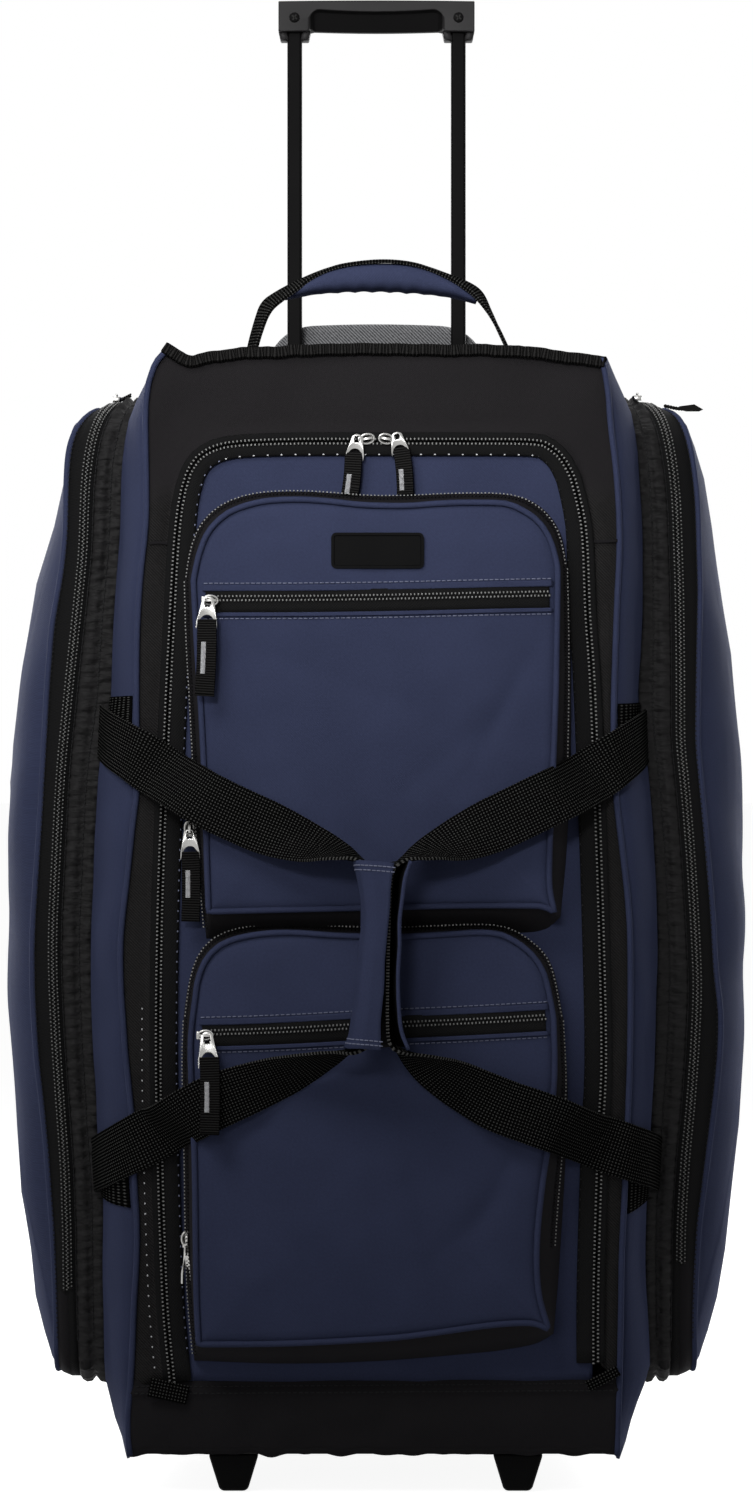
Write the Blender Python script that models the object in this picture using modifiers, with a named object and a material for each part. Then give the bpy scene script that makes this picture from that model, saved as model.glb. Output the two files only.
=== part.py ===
"""A tall rolling equipment bag: zipped pockets, carry straps, trolley handle and two wheels.

Metres, +Z up. The front of the bag faces -Y, and the bag stands on the plane z = 0.
"""

import math

import bmesh
import bpy
from mathutils import Matrix, Vector

BAG_NAME = "rolling_equipment_bag"
CLEARANCE = 0.0004  # gap between neighbouring pieces

# Bag body
BODY_HEIGHT = 0.760
BODY_DEPTH = 0.280
FRONT_HALF_WIDTH = 0.170
FRONT_TOP_HALF_WIDTH = 0.158
REAR_HALF_WIDTH = 0.190
REAR_TOP_HALF_WIDTH = 0.172
FOOT_HALF_WIDTH = 0.170
FLARE_DEPTH = 0.050
TOP_CORNER_RADIUS = 0.028
PANEL_THICKNESS = 0.004
FRONT_THICKNESS = 0.005
BASE_BAND_HEIGHT = 0.051
BASE_BOARD_THICKNESS = 0.006
BACK_BOARD_THICKNESS = 0.003
BINDING_HEIGHT = 0.008
BINDING_THICKNESS = 0.002

# Front feet
FOOT_HEIGHT = 0.027
FOOT_TOP_WIDTH = 0.035
FOOT_BOTTOM_WIDTH = 0.019
FOOT_DEPTH = 0.036
FOOT_OFFSET = 0.097
FOOT_SETBACK = 0.006

# Main flap and its zip
FLAP_HEIGHT = 0.644
FLAP_HALF_WIDTH = 0.150
FLAP_TOP_HALF_WIDTH = 0.141
FLAP_CORNER_RADIUS = 0.041
ZIP_TAPE_WIDTH = 0.009
ZIP_TAPE_THICKNESS = 0.0015

# Front pockets on the flap
POCKET_DEPTH = 0.038
POCKET_HALF_WIDTH = 0.124
POCKET_TOP_RADIUS = 0.041
POCKET_BOTTOM_RADIUS = 0.012
POCKET_EDGE_ROUND = 0.006
LOWER_POCKET_RISE = 0.014
LOWER_POCKET_HEIGHT = 0.290
POCKET_SPACING = 0.003
UPPER_POCKET_HEIGHT = 0.299
SLASH_ZIP_LENGTH = 0.236
SLASH_ZIP_HEIGHT = 0.015
SLASH_ZIP_THICKNESS = 0.002
UPPER_SLASH_DROP = 0.070
LOWER_SLASH_DROP = 0.062
LOWER_SLASH_TILT = math.radians(2.4)
PATCH_WIDTH = 0.064
PATCH_HEIGHT = 0.025
PATCH_THICKNESS = 0.002
PATCH_DROP = 0.036

# Zip sliders and pulls
SLIDER_WIDTH = 0.010
SLIDER_HEIGHT = 0.014
SLIDER_THICKNESS = 0.005
PULL_WIDTH = 0.011
PULL_LENGTH = 0.020
PULL_THICKNESS = 0.0022
PULL_TAPE_WIDTH = 0.009
PULL_TAPE_THICKNESS = 0.0018
MAIN_TAPE_LENGTH = 0.014
POCKET_TAPE_LENGTH = 0.046
MAIN_SLIDER_OFFSET = 0.0105
GUSSET_SLIDER_LENGTH = 0.036
GUSSET_SLIDER_DEPTH = 0.009
GUSSET_SLIDER_THICKNESS = 0.005
UPPER_GUSSET_RISE = 0.036
LOWER_GUSSET_RISE = 0.062

# Side pockets
SIDE_POCKET_RISE = 0.053
SIDE_POCKET_HEIGHT = 0.672
SIDE_POCKET_DEPTH = 0.196
SIDE_POCKET_RADIUS = 0.048
SIDE_POCKET_WALL = 0.004
SIDE_EDGE_PROUD = 0.030
SIDE_EDGE_SWELL = 0.022
SIDE_CROWN_END = 0.003
SIDE_CROWN = 0.021
SIDE_ZIP_SETBACK = 0.012
SIDE_TAB_LENGTH = 0.030
SIDE_TAB_WIDTH = 0.010
SIDE_TAB_THICKNESS = 0.005

# Carry straps and their wrap
STRAP_WIDTH = 0.038
STRAP_THICKNESS = 0.0022
STRAP_UPPER_HEIGHT = 0.523
STRAP_LOWER_HEIGHT = 0.226
STRAP_STANDOFF = 0.0035
WRAP_HEIGHT = 0.130
WRAP_CENTRE_HEIGHT = 0.370
WRAP_HALF_WIDTH = 0.016
WRAP_WALL = 0.0051
WRAP_BACK_GAP = 0.004

# Grab handle
GRAB_HALF_SPAN = 0.088
GRAB_RISE = 0.060
GRAB_WIDTH = 0.030
GRAB_WEBBING = 0.003
GRAB_PAD_HALF_SPAN = 0.066
GRAB_PAD_THICKNESS = 0.015
GRAB_SETBACK = 0.028

# Trolley
TUBE_SPACING = 0.122
TUBE_HALF_WIDTH = 0.0055
TUBE_CORNER = 0.002
SLEEVE_HALF_WIDTH = 0.0075
TUBE_RUNNING_GAP = 0.0005
TUBE_ENGAGEMENT = 0.330
TROLLEY_REACH = 0.252
GRIP_WIDTH = 0.146
GRIP_HEIGHT = 0.030
GRIP_DEPTH = 0.022
GRIP_END_WIDTH = 0.024
GRIP_BAR_HEIGHT = 0.016
GRIP_BAR_INSET = 0.003
GRIP_ROUND = 0.003
GRIP_SOCKET = 0.020
SCREW_RADIUS = 0.0036
SCREW_HEIGHT = 0.001
GUIDE_HALF_WIDTH = 0.082
GUIDE_HEIGHT = 0.022
GUIDE_PROUD = 0.003
BRACKET_HEIGHT = 0.026
CAP_HALF_WIDTH = 0.083
CAP_RISE = 0.040
CAP_DROP = 0.070
CAP_THICKNESS = 0.012
CAP_ROUND = 0.005

# Wheels
WHEEL_RADIUS = 0.034
WHEEL_WIDTH = 0.024
WHEEL_OFFSET = 0.135
WHEEL_PROUD = 0.012
WHEEL_GAP = 0.003
AXLE_RADIUS = 0.004
AXLE_GAP = 0.0003
HOUSING_CHEEK = 0.012
HOUSING_WALL = 0.004
HOUSING_CEILING = 0.014

# Places worked out from the sizes above
STRAP_OUT = STRAP_STANDOFF + STRAP_THICKNESS
WRAP_HALF_DEPTH = STRAP_WIDTH / 2 + CLEARANCE + WRAP_WALL
WRAP_OUT = POCKET_DEPTH + STRAP_OUT + WRAP_BACK_GAP + WRAP_HALF_DEPTH
REAR_PROUD = max(WHEEL_PROUD, CAP_THICKNESS + CLEARANCE)
TOTAL_DEPTH = WRAP_OUT + WRAP_HALF_DEPTH + BODY_DEPTH + REAR_PROUD
FRONT_Y = -TOTAL_DEPTH / 2 + WRAP_OUT + WRAP_HALF_DEPTH
BACK_Y = FRONT_Y + BODY_DEPTH
WRAP_Y = FRONT_Y - WRAP_OUT
POCKET_FACE_Y = FRONT_Y - POCKET_DEPTH
BOTTOM_Z = FOOT_HEIGHT + CLEARANCE
TOP_Z = BOTTOM_Z + BODY_HEIGHT
BASE_TOP_Z = BOTTOM_Z + BASE_BAND_HEIGHT
FLAP_BOTTOM_Z = BASE_TOP_Z + CLEARANCE
FLAP_TOP_Z = BASE_TOP_Z + FLAP_HEIGHT
WALL_FRONT_Y = FRONT_Y + FRONT_THICKNESS + CLEARANCE
FLARE_Y = WALL_FRONT_Y + FLARE_DEPTH
COVER_FRONT_Y = BACK_Y - PANEL_THICKNESS
WALL_BACK_Y = COVER_FRONT_Y - CLEARANCE
BAY_DEPTH = 2 * SLEEVE_HALF_WIDTH
BAY_FRONT_Y = WALL_BACK_Y - BAY_DEPTH
TUBE_Y = WALL_BACK_Y - SLEEVE_HALF_WIDTH
WHEEL_Y = BACK_Y + WHEEL_PROUD - WHEEL_RADIUS
WHEEL_WELL = WHEEL_RADIUS + WHEEL_GAP
HOUSING_HALF_WIDTH = WHEEL_WIDTH / 2 + WHEEL_GAP + HOUSING_CHEEK
HOUSING_FRONT_Y = WHEEL_Y - WHEEL_WELL - HOUSING_WALL
HOUSING_TOP_Z = WHEEL_RADIUS + WHEEL_WELL + HOUSING_CEILING
HOUSING_BOTTOM_Z = WHEEL_RADIUS - HOUSING_CHEEK
LOWER_POCKET_Z = BASE_TOP_Z + LOWER_POCKET_RISE
UPPER_POCKET_Z = LOWER_POCKET_Z + LOWER_POCKET_HEIGHT + POCKET_SPACING
LOWER_POCKET_TOP_Z = LOWER_POCKET_Z + LOWER_POCKET_HEIGHT
UPPER_POCKET_TOP_Z = UPPER_POCKET_Z + UPPER_POCKET_HEIGHT
GRIP_BOTTOM_Z = TOP_Z + TROLLEY_REACH
SIDE_BOTTOM_Z = BOTTOM_Z + SIDE_POCKET_RISE
SIDE_TOP_Z = SIDE_BOTTOM_Z + SIDE_POCKET_HEIGHT
SIDE_FRONT_Y = FLARE_Y + CLEARANCE
ARC_STEPS = 6
SIDES = {"left": -1, "right": 1}

COLOURS = {
    "navy_cloth": ((0.040, 0.049, 0.122), 0.60, 0.0),
    "black_cloth": ((0.012, 0.012, 0.014), 0.75, 0.0),
    "black_webbing": ((0.010, 0.010, 0.011), 0.70, 0.0),
    "grey_cloth": ((0.085, 0.090, 0.105), 0.85, 0.0),
    "zip_tape": ((0.009, 0.009, 0.010), 0.65, 0.0),
    "nickel": ((0.720, 0.710, 0.690), 0.25, 1.0),
    "black_plastic": ((0.013, 0.013, 0.014), 0.40, 0.0),
    "black_tube": ((0.016, 0.016, 0.018), 0.32, 0.6),
    "board": ((0.060, 0.055, 0.050), 0.80, 0.0),
    "rubber_patch": ((0.014, 0.014, 0.015), 0.55, 0.0),
    "steel": ((0.450, 0.450, 0.460), 0.35, 1.0),
    "wheel_rubber": ((0.020, 0.020, 0.021), 0.65, 0.0),
}


def clear_scene():
    for obj in list(bpy.data.objects):
        bpy.data.objects.remove(obj, do_unlink=True)


def new_collection(name):
    collection = bpy.data.collections.new(name)
    bpy.context.scene.collection.children.link(collection)
    return collection


clear_scene()
PARTS = new_collection(BAG_NAME)
CUTTERS = new_collection(BAG_NAME + "_cutters")


def material(name):
    found = bpy.data.materials.get(name)
    if found:
        return found
    colour, roughness, metallic = COLOURS[name]
    found = bpy.data.materials.new(name)
    found.use_nodes = True
    shader = found.node_tree.nodes["Principled BSDF"]
    shader.inputs["Base Color"].default_value = (*colour, 1.0)
    shader.inputs["Roughness"].default_value = roughness
    shader.inputs["Metallic"].default_value = metallic
    found.diffuse_color = (*colour, 1.0)
    return found


def add_part(name, data, finish):
    obj = bpy.data.objects.new(name, data)
    PARTS.objects.link(obj)
    data.materials.append(material(finish))
    return obj


def as_cutter(obj):
    PARTS.objects.unlink(obj)
    CUTTERS.objects.link(obj)
    obj.hide_render = True
    obj.display_type = "WIRE"
    return obj


def boolean(obj, cutter, operation):
    modifier = obj.modifiers.new(operation.lower() + "_" + cutter.name, "BOOLEAN")
    modifier.operation = operation
    modifier.object = as_cutter(cutter)


def round_edges(obj, width, segments=2):
    bevel = obj.modifiers.new("round_edges", "BEVEL")
    bevel.width = width
    bevel.segments = segments
    bevel.limit_method = "ANGLE"


def box(name, low, high, finish):
    low, high = Vector(low), Vector(high)
    bm = bmesh.new()
    bmesh.ops.create_cube(bm, size=1.0)
    bmesh.ops.scale(bm, vec=high - low, verts=bm.verts)
    mesh = bpy.data.meshes.new(name)
    bm.to_mesh(mesh)
    bm.free()
    obj = add_part(name, mesh, finish)
    obj.location = (low + high) / 2
    return obj


def rod(name, radius, length, centre, axis, finish, sides=20):
    bm = bmesh.new()
    bmesh.ops.create_cone(bm, cap_ends=True, segments=sides, radius1=radius, radius2=radius, depth=length)
    mesh = bpy.data.meshes.new(name)
    bm.to_mesh(mesh)
    bm.free()
    mesh.shade_smooth()
    mesh.set_sharp_from_angle(angle=math.radians(40))
    obj = add_part(name, mesh, finish)
    obj.location = centre
    obj.rotation_mode = "QUATERNION"
    obj.rotation_quaternion = Vector((0, 0, 1)).rotation_difference(Vector(axis))
    return obj


def turned(name, profile, centre, axis, finish, steps=24):
    """A closed (radius, height) profile, turned about its own axis."""
    bm = bmesh.new()
    verts = [bm.verts.new((radius, 0, height)) for radius, height in profile]
    for first, second in zip(verts, verts[1:] + verts[:1]):
        bm.edges.new((first, second))
    mesh = bpy.data.meshes.new(name)
    bm.to_mesh(mesh)
    bm.free()
    obj = add_part(name, mesh, finish)
    screw = obj.modifiers.new("turn", "SCREW")
    screw.axis = "Z"
    screw.steps = steps
    screw.render_steps = steps
    screw.use_merge_vertices = True
    screw.merge_threshold = 0.00001
    screw.use_smooth_shade = True
    obj.location = centre
    obj.rotation_mode = "QUATERNION"
    obj.rotation_quaternion = Vector((0, 0, 1)).rotation_difference(Vector(axis))
    return obj


def plate(name, outlines, thickness, centre, finish, upright=True, edge_round=0.0):
    """A flat outline with its holes, in the XZ plane when upright and in the XY plane otherwise."""
    curve = bpy.data.curves.new(name, "CURVE")
    curve.dimensions = "2D"
    curve.fill_mode = "BOTH"
    curve.extrude = thickness / 2 - edge_round
    curve.bevel_depth = edge_round
    curve.bevel_resolution = 1
    curve.offset = -edge_round
    for outline in outlines:
        spline = curve.splines.new("POLY")
        spline.points.add(len(outline) - 1)
        for point, (across, along) in zip(spline.points, outline):
            point.co = (across, along, 0, 1)
        spline.use_cyclic_u = True
    obj = add_part(name, curve, finish)
    obj.location = centre
    if upright:
        obj.rotation_euler = (math.pi / 2, 0, 0)
    return obj


def loft(name, sections, finish, smooth=True, triangles=False):
    """A solid through closed sections that all have the same number of points."""
    bm = bmesh.new()
    rings = [[bm.verts.new(point) for point in section] for section in sections]
    for lower, upper in zip(rings, rings[1:]):
        for i in range(len(lower)):
            j = (i + 1) % len(lower)
            bm.faces.new((lower[i], lower[j], upper[j], upper[i]))
    bm.faces.new(reversed(rings[0]))
    bm.faces.new(rings[-1])
    bmesh.ops.recalc_face_normals(bm, faces=bm.faces)
    if triangles:
        bmesh.ops.triangulate(bm, faces=bm.faces)
    mesh = bpy.data.meshes.new(name)
    bm.to_mesh(mesh)
    bm.free()
    if smooth:
        mesh.shade_smooth()
        mesh.set_sharp_from_angle(angle=math.radians(35))
    return add_part(name, mesh, finish)


def ribbon(name, stations, width, thickness, finish):
    """A flat strap through (centre, width direction) stations. It twists, so its faces are triangles."""
    centres = [Vector(centre) for centre, _ in stations]
    sections = []
    for i, (_, hint) in enumerate(stations):
        run = (centres[min(i + 1, len(centres) - 1)] - centres[max(i - 1, 0)]).normalized()
        across = Vector(hint).normalized() * width / 2
        through = run.cross(across).normalized() * thickness / 2
        corners = (across + through, across - through, -across - through, through - across)
        sections.append([centres[i] + corner for corner in corners])
    return loft(name, sections, finish, triangles=True)


def arc(centre_x, centre_z, radius, start, end, steps=ARC_STEPS):
    angles = [math.radians(start + (end - start) * i / steps) for i in range(steps + 1)]
    return [(centre_x + radius * math.cos(a), centre_z + radius * math.sin(a)) for a in angles]


def arch(half_bottom, half_top, bottom_z, top_z, radius):
    """An open outline from bottom left, over two round top corners, to bottom right."""
    middle_x, middle_z = half_top - radius, top_z - radius
    left = arc(-middle_x, middle_z, radius, 180, 90)
    right = arc(middle_x, middle_z, radius, 90, 0)
    return [(-half_bottom, bottom_z)] + left + right + [(half_bottom, bottom_z)]


def flap_arch(grow):
    """The flap's outline, grown outward by a width."""
    return arch(
        FLAP_HALF_WIDTH + grow,
        FLAP_TOP_HALF_WIDTH + grow,
        FLAP_BOTTOM_Z,
        FLAP_TOP_Z + grow,
        FLAP_CORNER_RADIUS + grow,
    )


def wall_arch(half_foot, half_bottom, half_top, inset):
    """The bag's section across its depth, inside a wall: it narrows to a foot below the side pockets."""
    radius = TOP_CORNER_RADIUS - inset
    sides = arch(half_bottom - inset, half_top - inset, SIDE_BOTTOM_Z, TOP_Z - inset, radius)
    return [(inset - half_foot, BOTTOM_Z)] + sides + [(half_foot - inset, BOTTOM_Z)]


def rounded_outline(half_width, bottom_z, top_z, bottom_radius, top_radius):
    corners = arc(half_width - bottom_radius, bottom_z + bottom_radius, bottom_radius, -90, 0)
    corners += arc(half_width - top_radius, top_z - top_radius, top_radius, 0, 90)
    corners += arc(top_radius - half_width, top_z - top_radius, top_radius, 90, 180)
    corners += arc(bottom_radius - half_width, bottom_z + bottom_radius, bottom_radius, 180, 270)
    return corners


def square_outline(half_width):
    """The section of a trolley tube, grown evenly from the tube's own size."""
    corner = TUBE_CORNER + half_width - TUBE_HALF_WIDTH
    return rounded_outline(half_width, -half_width, half_width, corner, corner)


def pivot(name, location, pieces, parent=None):
    """An empty on a joint's axis, which carries the pieces that move about it."""
    empty = bpy.data.objects.new(name, None)
    PARTS.objects.link(empty)
    empty.empty_display_size = 0.02
    empty.matrix_world = Matrix.Translation(location)
    if parent:
        bpy.context.view_layer.update()
        empty.parent = parent
        empty.matrix_parent_inverse = parent.matrix_world.inverted()
    inverse = Matrix.Translation(location).inverted()
    for piece in pieces:
        piece.parent = empty
        piece.matrix_parent_inverse = inverse
    return empty


# Bag body


def rear_half_width(z):
    """Half the width behind the flare, at a height above the foot."""
    share = (z - SIDE_BOTTOM_Z) / (TOP_Z - TOP_CORNER_RADIUS - SIDE_BOTTOM_Z)
    return REAR_HALF_WIDTH + (REAR_TOP_HALF_WIDTH - REAR_HALF_WIDTH) * min(share, 1.0)


def front_half_width(z):
    """Half the width of the front panel, at a height."""
    share = (z - BOTTOM_Z) / (TOP_Z - TOP_CORNER_RADIUS - BOTTOM_Z)
    return FRONT_HALF_WIDTH + (FRONT_TOP_HALF_WIDTH - FRONT_HALF_WIDTH) * min(share, 1.0)


def wall_stations():
    """(y, half widths at the foot, above it and at the top) along the bag's depth."""
    return [
        (WALL_FRONT_Y, FRONT_HALF_WIDTH, front_half_width(SIDE_BOTTOM_Z), FRONT_TOP_HALF_WIDTH),
        (FLARE_Y, FOOT_HALF_WIDTH, REAR_HALF_WIDTH, REAR_TOP_HALF_WIDTH),
        (WALL_BACK_Y, FOOT_HALF_WIDTH, REAR_HALF_WIDTH, REAR_TOP_HALF_WIDTH),
    ]


def make_front_frame():
    half_bottom = front_half_width(FLAP_BOTTOM_Z)
    outer = arch(half_bottom, FRONT_TOP_HALF_WIDTH, FLAP_BOTTOM_Z, TOP_Z, TOP_CORNER_RADIUS)
    inner = flap_arch(CLEARANCE)
    centre = (0, FRONT_Y + FRONT_THICKNESS / 2, 0)
    plate("front_frame", [outer + inner[::-1]], FRONT_THICKNESS, centre, "black_cloth")


def make_side_gussets():
    for side, sign in SIDES.items():
        sections = []
        for y, half_foot, half_bottom, half_top in wall_stations():
            outer = wall_arch(half_foot, half_bottom, half_top, 0.0)
            inner = wall_arch(half_foot, half_bottom, half_top, PANEL_THICKNESS)
            half = len(outer) // 2
            section = outer[half:] + inner[half:][::-1]
            sections.append([(sign * x, y, z) for x, z in section])
        loft("side_gusset_" + side, sections, "navy_cloth")


def make_top_panel():
    sections = []
    for y, _, _, half_top in wall_stations():
        half = half_top - TOP_CORNER_RADIUS - CLEARANCE
        low = TOP_Z - PANEL_THICKNESS
        sections.append([(-half, y, low), (half, y, low), (half, y, TOP_Z), (-half, y, TOP_Z)])
    panel = loft("top_panel", sections, "navy_cloth", smooth=False)
    reach = GUIDE_HALF_WIDTH + CLEARANCE
    low = (-reach, BAY_FRONT_Y - CLEARANCE, TOP_Z - GUIDE_HEIGHT)
    high = (reach, BACK_Y, TOP_Z + GUIDE_HEIGHT)
    boolean(panel, box("guide_notch", low, high, "navy_cloth"), "DIFFERENCE")
    half = FRONT_TOP_HALF_WIDTH - TOP_CORNER_RADIUS
    low = (-half, FRONT_Y - CLEARANCE - BINDING_THICKNESS, TOP_Z - BINDING_HEIGHT)
    high = (half, FRONT_Y - CLEARANCE, TOP_Z)
    box("top_binding", low, high, "black_webbing")


def make_base():
    half_top = front_half_width(BASE_TOP_Z)
    outline = [(FRONT_HALF_WIDTH, BOTTOM_Z), (half_top, BASE_TOP_Z)]
    outline += [(-x, z) for x, z in reversed(outline)]
    centre = (0, FRONT_Y + FRONT_THICKNESS / 2, 0)
    plate("base_panel", [outline], FRONT_THICKNESS, centre, "black_cloth")
    inset = PANEL_THICKNESS + 2 * CLEARANCE
    board_top_z = BOTTOM_Z + BASE_BOARD_THICKNESS
    front = front_half_width(board_top_z) - inset
    rear = min(FOOT_HALF_WIDTH, REAR_HALF_WIDTH) - inset
    near = WHEEL_OFFSET - HOUSING_HALF_WIDTH - CLEARANCE
    far = WHEEL_OFFSET + HOUSING_HALF_WIDTH + CLEARANCE
    well_y = HOUSING_FRONT_Y - CLEARANCE
    half_outline = [
        (front, WALL_FRONT_Y),
        (rear, FLARE_Y),
        (rear, WALL_BACK_Y),
        (far, WALL_BACK_Y),
        (far, well_y),
        (near, well_y),
        (near, WALL_BACK_Y),
    ]
    outline = half_outline + [(-x, y) for x, y in reversed(half_outline)]
    centre = (0, 0, BOTTOM_Z + BASE_BOARD_THICKNESS / 2)
    plate("base_board", [outline], BASE_BOARD_THICKNESS, centre, "board", upright=False)


def make_back():
    near = WHEEL_OFFSET - HOUSING_HALF_WIDTH - CLEARANCE
    far = WHEEL_OFFSET + HOUSING_HALF_WIDTH + CLEARANCE
    well_z = HOUSING_TOP_Z + CLEARANCE
    outline = wall_arch(FOOT_HALF_WIDTH, REAR_HALF_WIDTH, REAR_TOP_HALF_WIDTH, 0.0)
    notch = [(far, BOTTOM_Z), (far, well_z), (near, well_z), (near, BOTTOM_Z)]
    outline += notch + [(-x, z) for x, z in reversed(notch)]
    centre = (0, COVER_FRONT_Y + PANEL_THICKNESS / 2, 0)
    plate("back_cover", [outline], PANEL_THICKNESS, centre, "black_cloth")
    inset = PANEL_THICKNESS + CLEARANCE
    board = arch(
        rear_half_width(well_z) - inset,
        REAR_TOP_HALF_WIDTH - inset,
        well_z,
        TOP_Z - inset,
        TOP_CORNER_RADIUS - inset,
    )
    centre = (0, BAY_FRONT_Y - CLEARANCE - BACK_BOARD_THICKNESS / 2, 0)
    plate("back_board", [board], BACK_BOARD_THICKNESS, centre, "board")


def make_feet():
    for side, sign in SIDES.items():
        top, bottom = FOOT_TOP_WIDTH / 2, FOOT_BOTTOM_WIDTH / 2
        corner = bottom * 0.4
        outline = [(-top, FOOT_HEIGHT), (-bottom, corner), (corner - bottom, 0)]
        outline += [(-x, z) for x, z in reversed(outline)]
        y = FRONT_Y + FOOT_SETBACK + FOOT_DEPTH / 2
        plate("front_foot_" + side, [outline], FOOT_DEPTH, (sign * FOOT_OFFSET, y, 0), "black_plastic")


# Main flap with its zip, pockets and sliders


def make_zip_pull(name, x, face_y, z, tape_length):
    """A slider on a face that looks along -Y, with a pull and tape that hang from it."""
    back = face_y - CLEARANCE
    front = back - SLIDER_THICKNESS
    half = SLIDER_WIDTH / 2
    low = (x - half, front, z - SLIDER_HEIGHT / 2)
    slider = box(name + "_slider", low, (x + half, back, z + SLIDER_HEIGHT / 2), "nickel")
    round_edges(slider, SLIDER_THICKNESS / 4, 1)
    pull_y = front - CLEARANCE - PULL_THICKNESS / 2
    outline = rounded_outline(PULL_WIDTH / 2, -PULL_LENGTH, 0, PULL_WIDTH / 5, PULL_WIDTH / 5)
    corner = PULL_WIDTH / 8
    hole = rounded_outline(PULL_WIDTH / 4, -PULL_LENGTH * 0.8, -PULL_LENGTH * 0.4, corner, corner)
    pull = plate(name + "_pull", [outline, hole], PULL_THICKNESS, (x, pull_y, z), "nickel")
    half = PULL_TAPE_WIDTH / 2
    tape_top = z - PULL_LENGTH - CLEARANCE
    low = (x - half, pull_y - PULL_TAPE_THICKNESS / 2, tape_top - tape_length)
    high = (x + half, pull_y + PULL_TAPE_THICKNESS / 2, tape_top)
    tape = box(name + "_pull_tape", low, high, "black_webbing")
    slide = pivot(name + "_slide_axis", (x, pull_y, z), [slider])
    pivot(name + "_pull_axis", (x, pull_y, z), [pull, tape], slide)
    return slide


def make_front_pocket(name, bottom_z, top_z, slash_z, tilt):
    outline = rounded_outline(POCKET_HALF_WIDTH, bottom_z, top_z, POCKET_BOTTOM_RADIUS, POCKET_TOP_RADIUS)
    depth = POCKET_DEPTH - CLEARANCE
    centre = (0, POCKET_FACE_Y + depth / 2, 0)
    pocket = plate(name, [outline], depth, centre, "navy_cloth", edge_round=POCKET_EDGE_ROUND)
    half, rise = SLASH_ZIP_LENGTH / 2, SLASH_ZIP_HEIGHT / 2
    outline = [(-half, -rise), (half, -rise), (half, rise), (-half, rise)]
    centre = (0, POCKET_FACE_Y - CLEARANCE - SLASH_ZIP_THICKNESS / 2, slash_z)
    zipper = plate(name + "_zip", [outline], SLASH_ZIP_THICKNESS, centre, "zip_tape")
    zipper.rotation_euler.y = -tilt
    start_x = -half + SLIDER_WIDTH
    start_z = slash_z + start_x * math.tan(tilt)
    face_y = POCKET_FACE_Y - CLEARANCE - SLASH_ZIP_THICKNESS
    slide = make_zip_pull(name, start_x, face_y, start_z, POCKET_TAPE_LENGTH)
    return [pocket, zipper], slide


def make_gusset_slider(name, z):
    """The slider of the zip around a front pocket, on the pocket's left side."""
    right = -POCKET_HALF_WIDTH - CLEARANCE
    back = FRONT_Y - ZIP_TAPE_THICKNESS - 3 * CLEARANCE
    low = (right - GUSSET_SLIDER_THICKNESS, back - GUSSET_SLIDER_DEPTH, z - GUSSET_SLIDER_LENGTH / 2)
    slider = box(name, low, (right, back, z + GUSSET_SLIDER_LENGTH / 2), "nickel")
    round_edges(slider, GUSSET_SLIDER_THICKNESS / 5, 1)
    return pivot(name + "_axis", slider.location, [slider])


def make_flap():
    centre = (0, FRONT_Y + FRONT_THICKNESS / 2, 0)
    panel = plate("main_flap", [flap_arch(-CLEARANCE)], FRONT_THICKNESS, centre, "navy_cloth")
    tape_y = FRONT_Y - CLEARANCE - ZIP_TAPE_THICKNESS / 2
    near, far = CLEARANCE, CLEARANCE + ZIP_TAPE_WIDTH
    strip = flap_arch(far) + flap_arch(near)[::-1]
    plate("zip_tape_frame", [strip], ZIP_TAPE_THICKNESS, (0, tape_y, 0), "zip_tape")
    strip = flap_arch(-near) + flap_arch(-far)[::-1]
    flap_tape = plate("zip_tape_flap", [strip], ZIP_TAPE_THICKNESS, (0, tape_y, 0), "zip_tape")
    slash_z = UPPER_POCKET_TOP_Z - UPPER_SLASH_DROP
    upper, upper_slide = make_front_pocket("upper_pocket", UPPER_POCKET_Z, UPPER_POCKET_TOP_Z, slash_z, 0.0)
    slash_z = LOWER_POCKET_TOP_Z - LOWER_SLASH_DROP
    lower, lower_slide = make_front_pocket(
        "lower_pocket", LOWER_POCKET_Z, LOWER_POCKET_TOP_Z, slash_z, LOWER_SLASH_TILT
    )
    patch_z = UPPER_POCKET_TOP_Z - PATCH_DROP
    back = POCKET_FACE_Y - CLEARANCE
    low = (-PATCH_WIDTH / 2, back - PATCH_THICKNESS, patch_z - PATCH_HEIGHT / 2)
    patch = box("blank_patch", low, (PATCH_WIDTH / 2, back, patch_z + PATCH_HEIGHT / 2), "rubber_patch")
    hinge = pivot("flap_axis", (0, FRONT_Y, BASE_TOP_Z), [panel, flap_tape, *upper, *lower, patch])
    slides = [upper_slide, lower_slide]
    tape_face_y = FRONT_Y - CLEARANCE - ZIP_TAPE_THICKNESS
    for side, sign in SIDES.items():
        x = sign * MAIN_SLIDER_OFFSET
        slides.append(make_zip_pull("main_zip_" + side, x, tape_face_y, FLAP_TOP_Z, MAIN_TAPE_LENGTH))
    slides.append(make_gusset_slider("upper_gusset_slider", UPPER_POCKET_Z + UPPER_GUSSET_RISE))
    slides.append(make_gusset_slider("lower_gusset_slider", LOWER_POCKET_Z + LOWER_GUSSET_RISE))
    bpy.context.view_layer.update()
    for slide in slides:
        slide.parent = hinge
        slide.matrix_parent_inverse = hinge.matrix_world.inverted()


# Side pockets


def side_levels(wall):
    """(height, how far the round top corners pull in) up a side pocket, inside a wall."""
    radius = SIDE_POCKET_RADIUS - wall
    top = SIDE_TOP_Z - wall
    bottom = SIDE_BOTTOM_Z + wall
    straight = 7
    levels = [(bottom + (top - radius - bottom) * i / straight, 0.0) for i in range(straight + 1)]
    for angle in (30, 55, 75, 90):
        turn = math.radians(angle)
        levels.append((top - radius + radius * math.sin(turn), radius * (1 - math.cos(turn))))
    return levels


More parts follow.
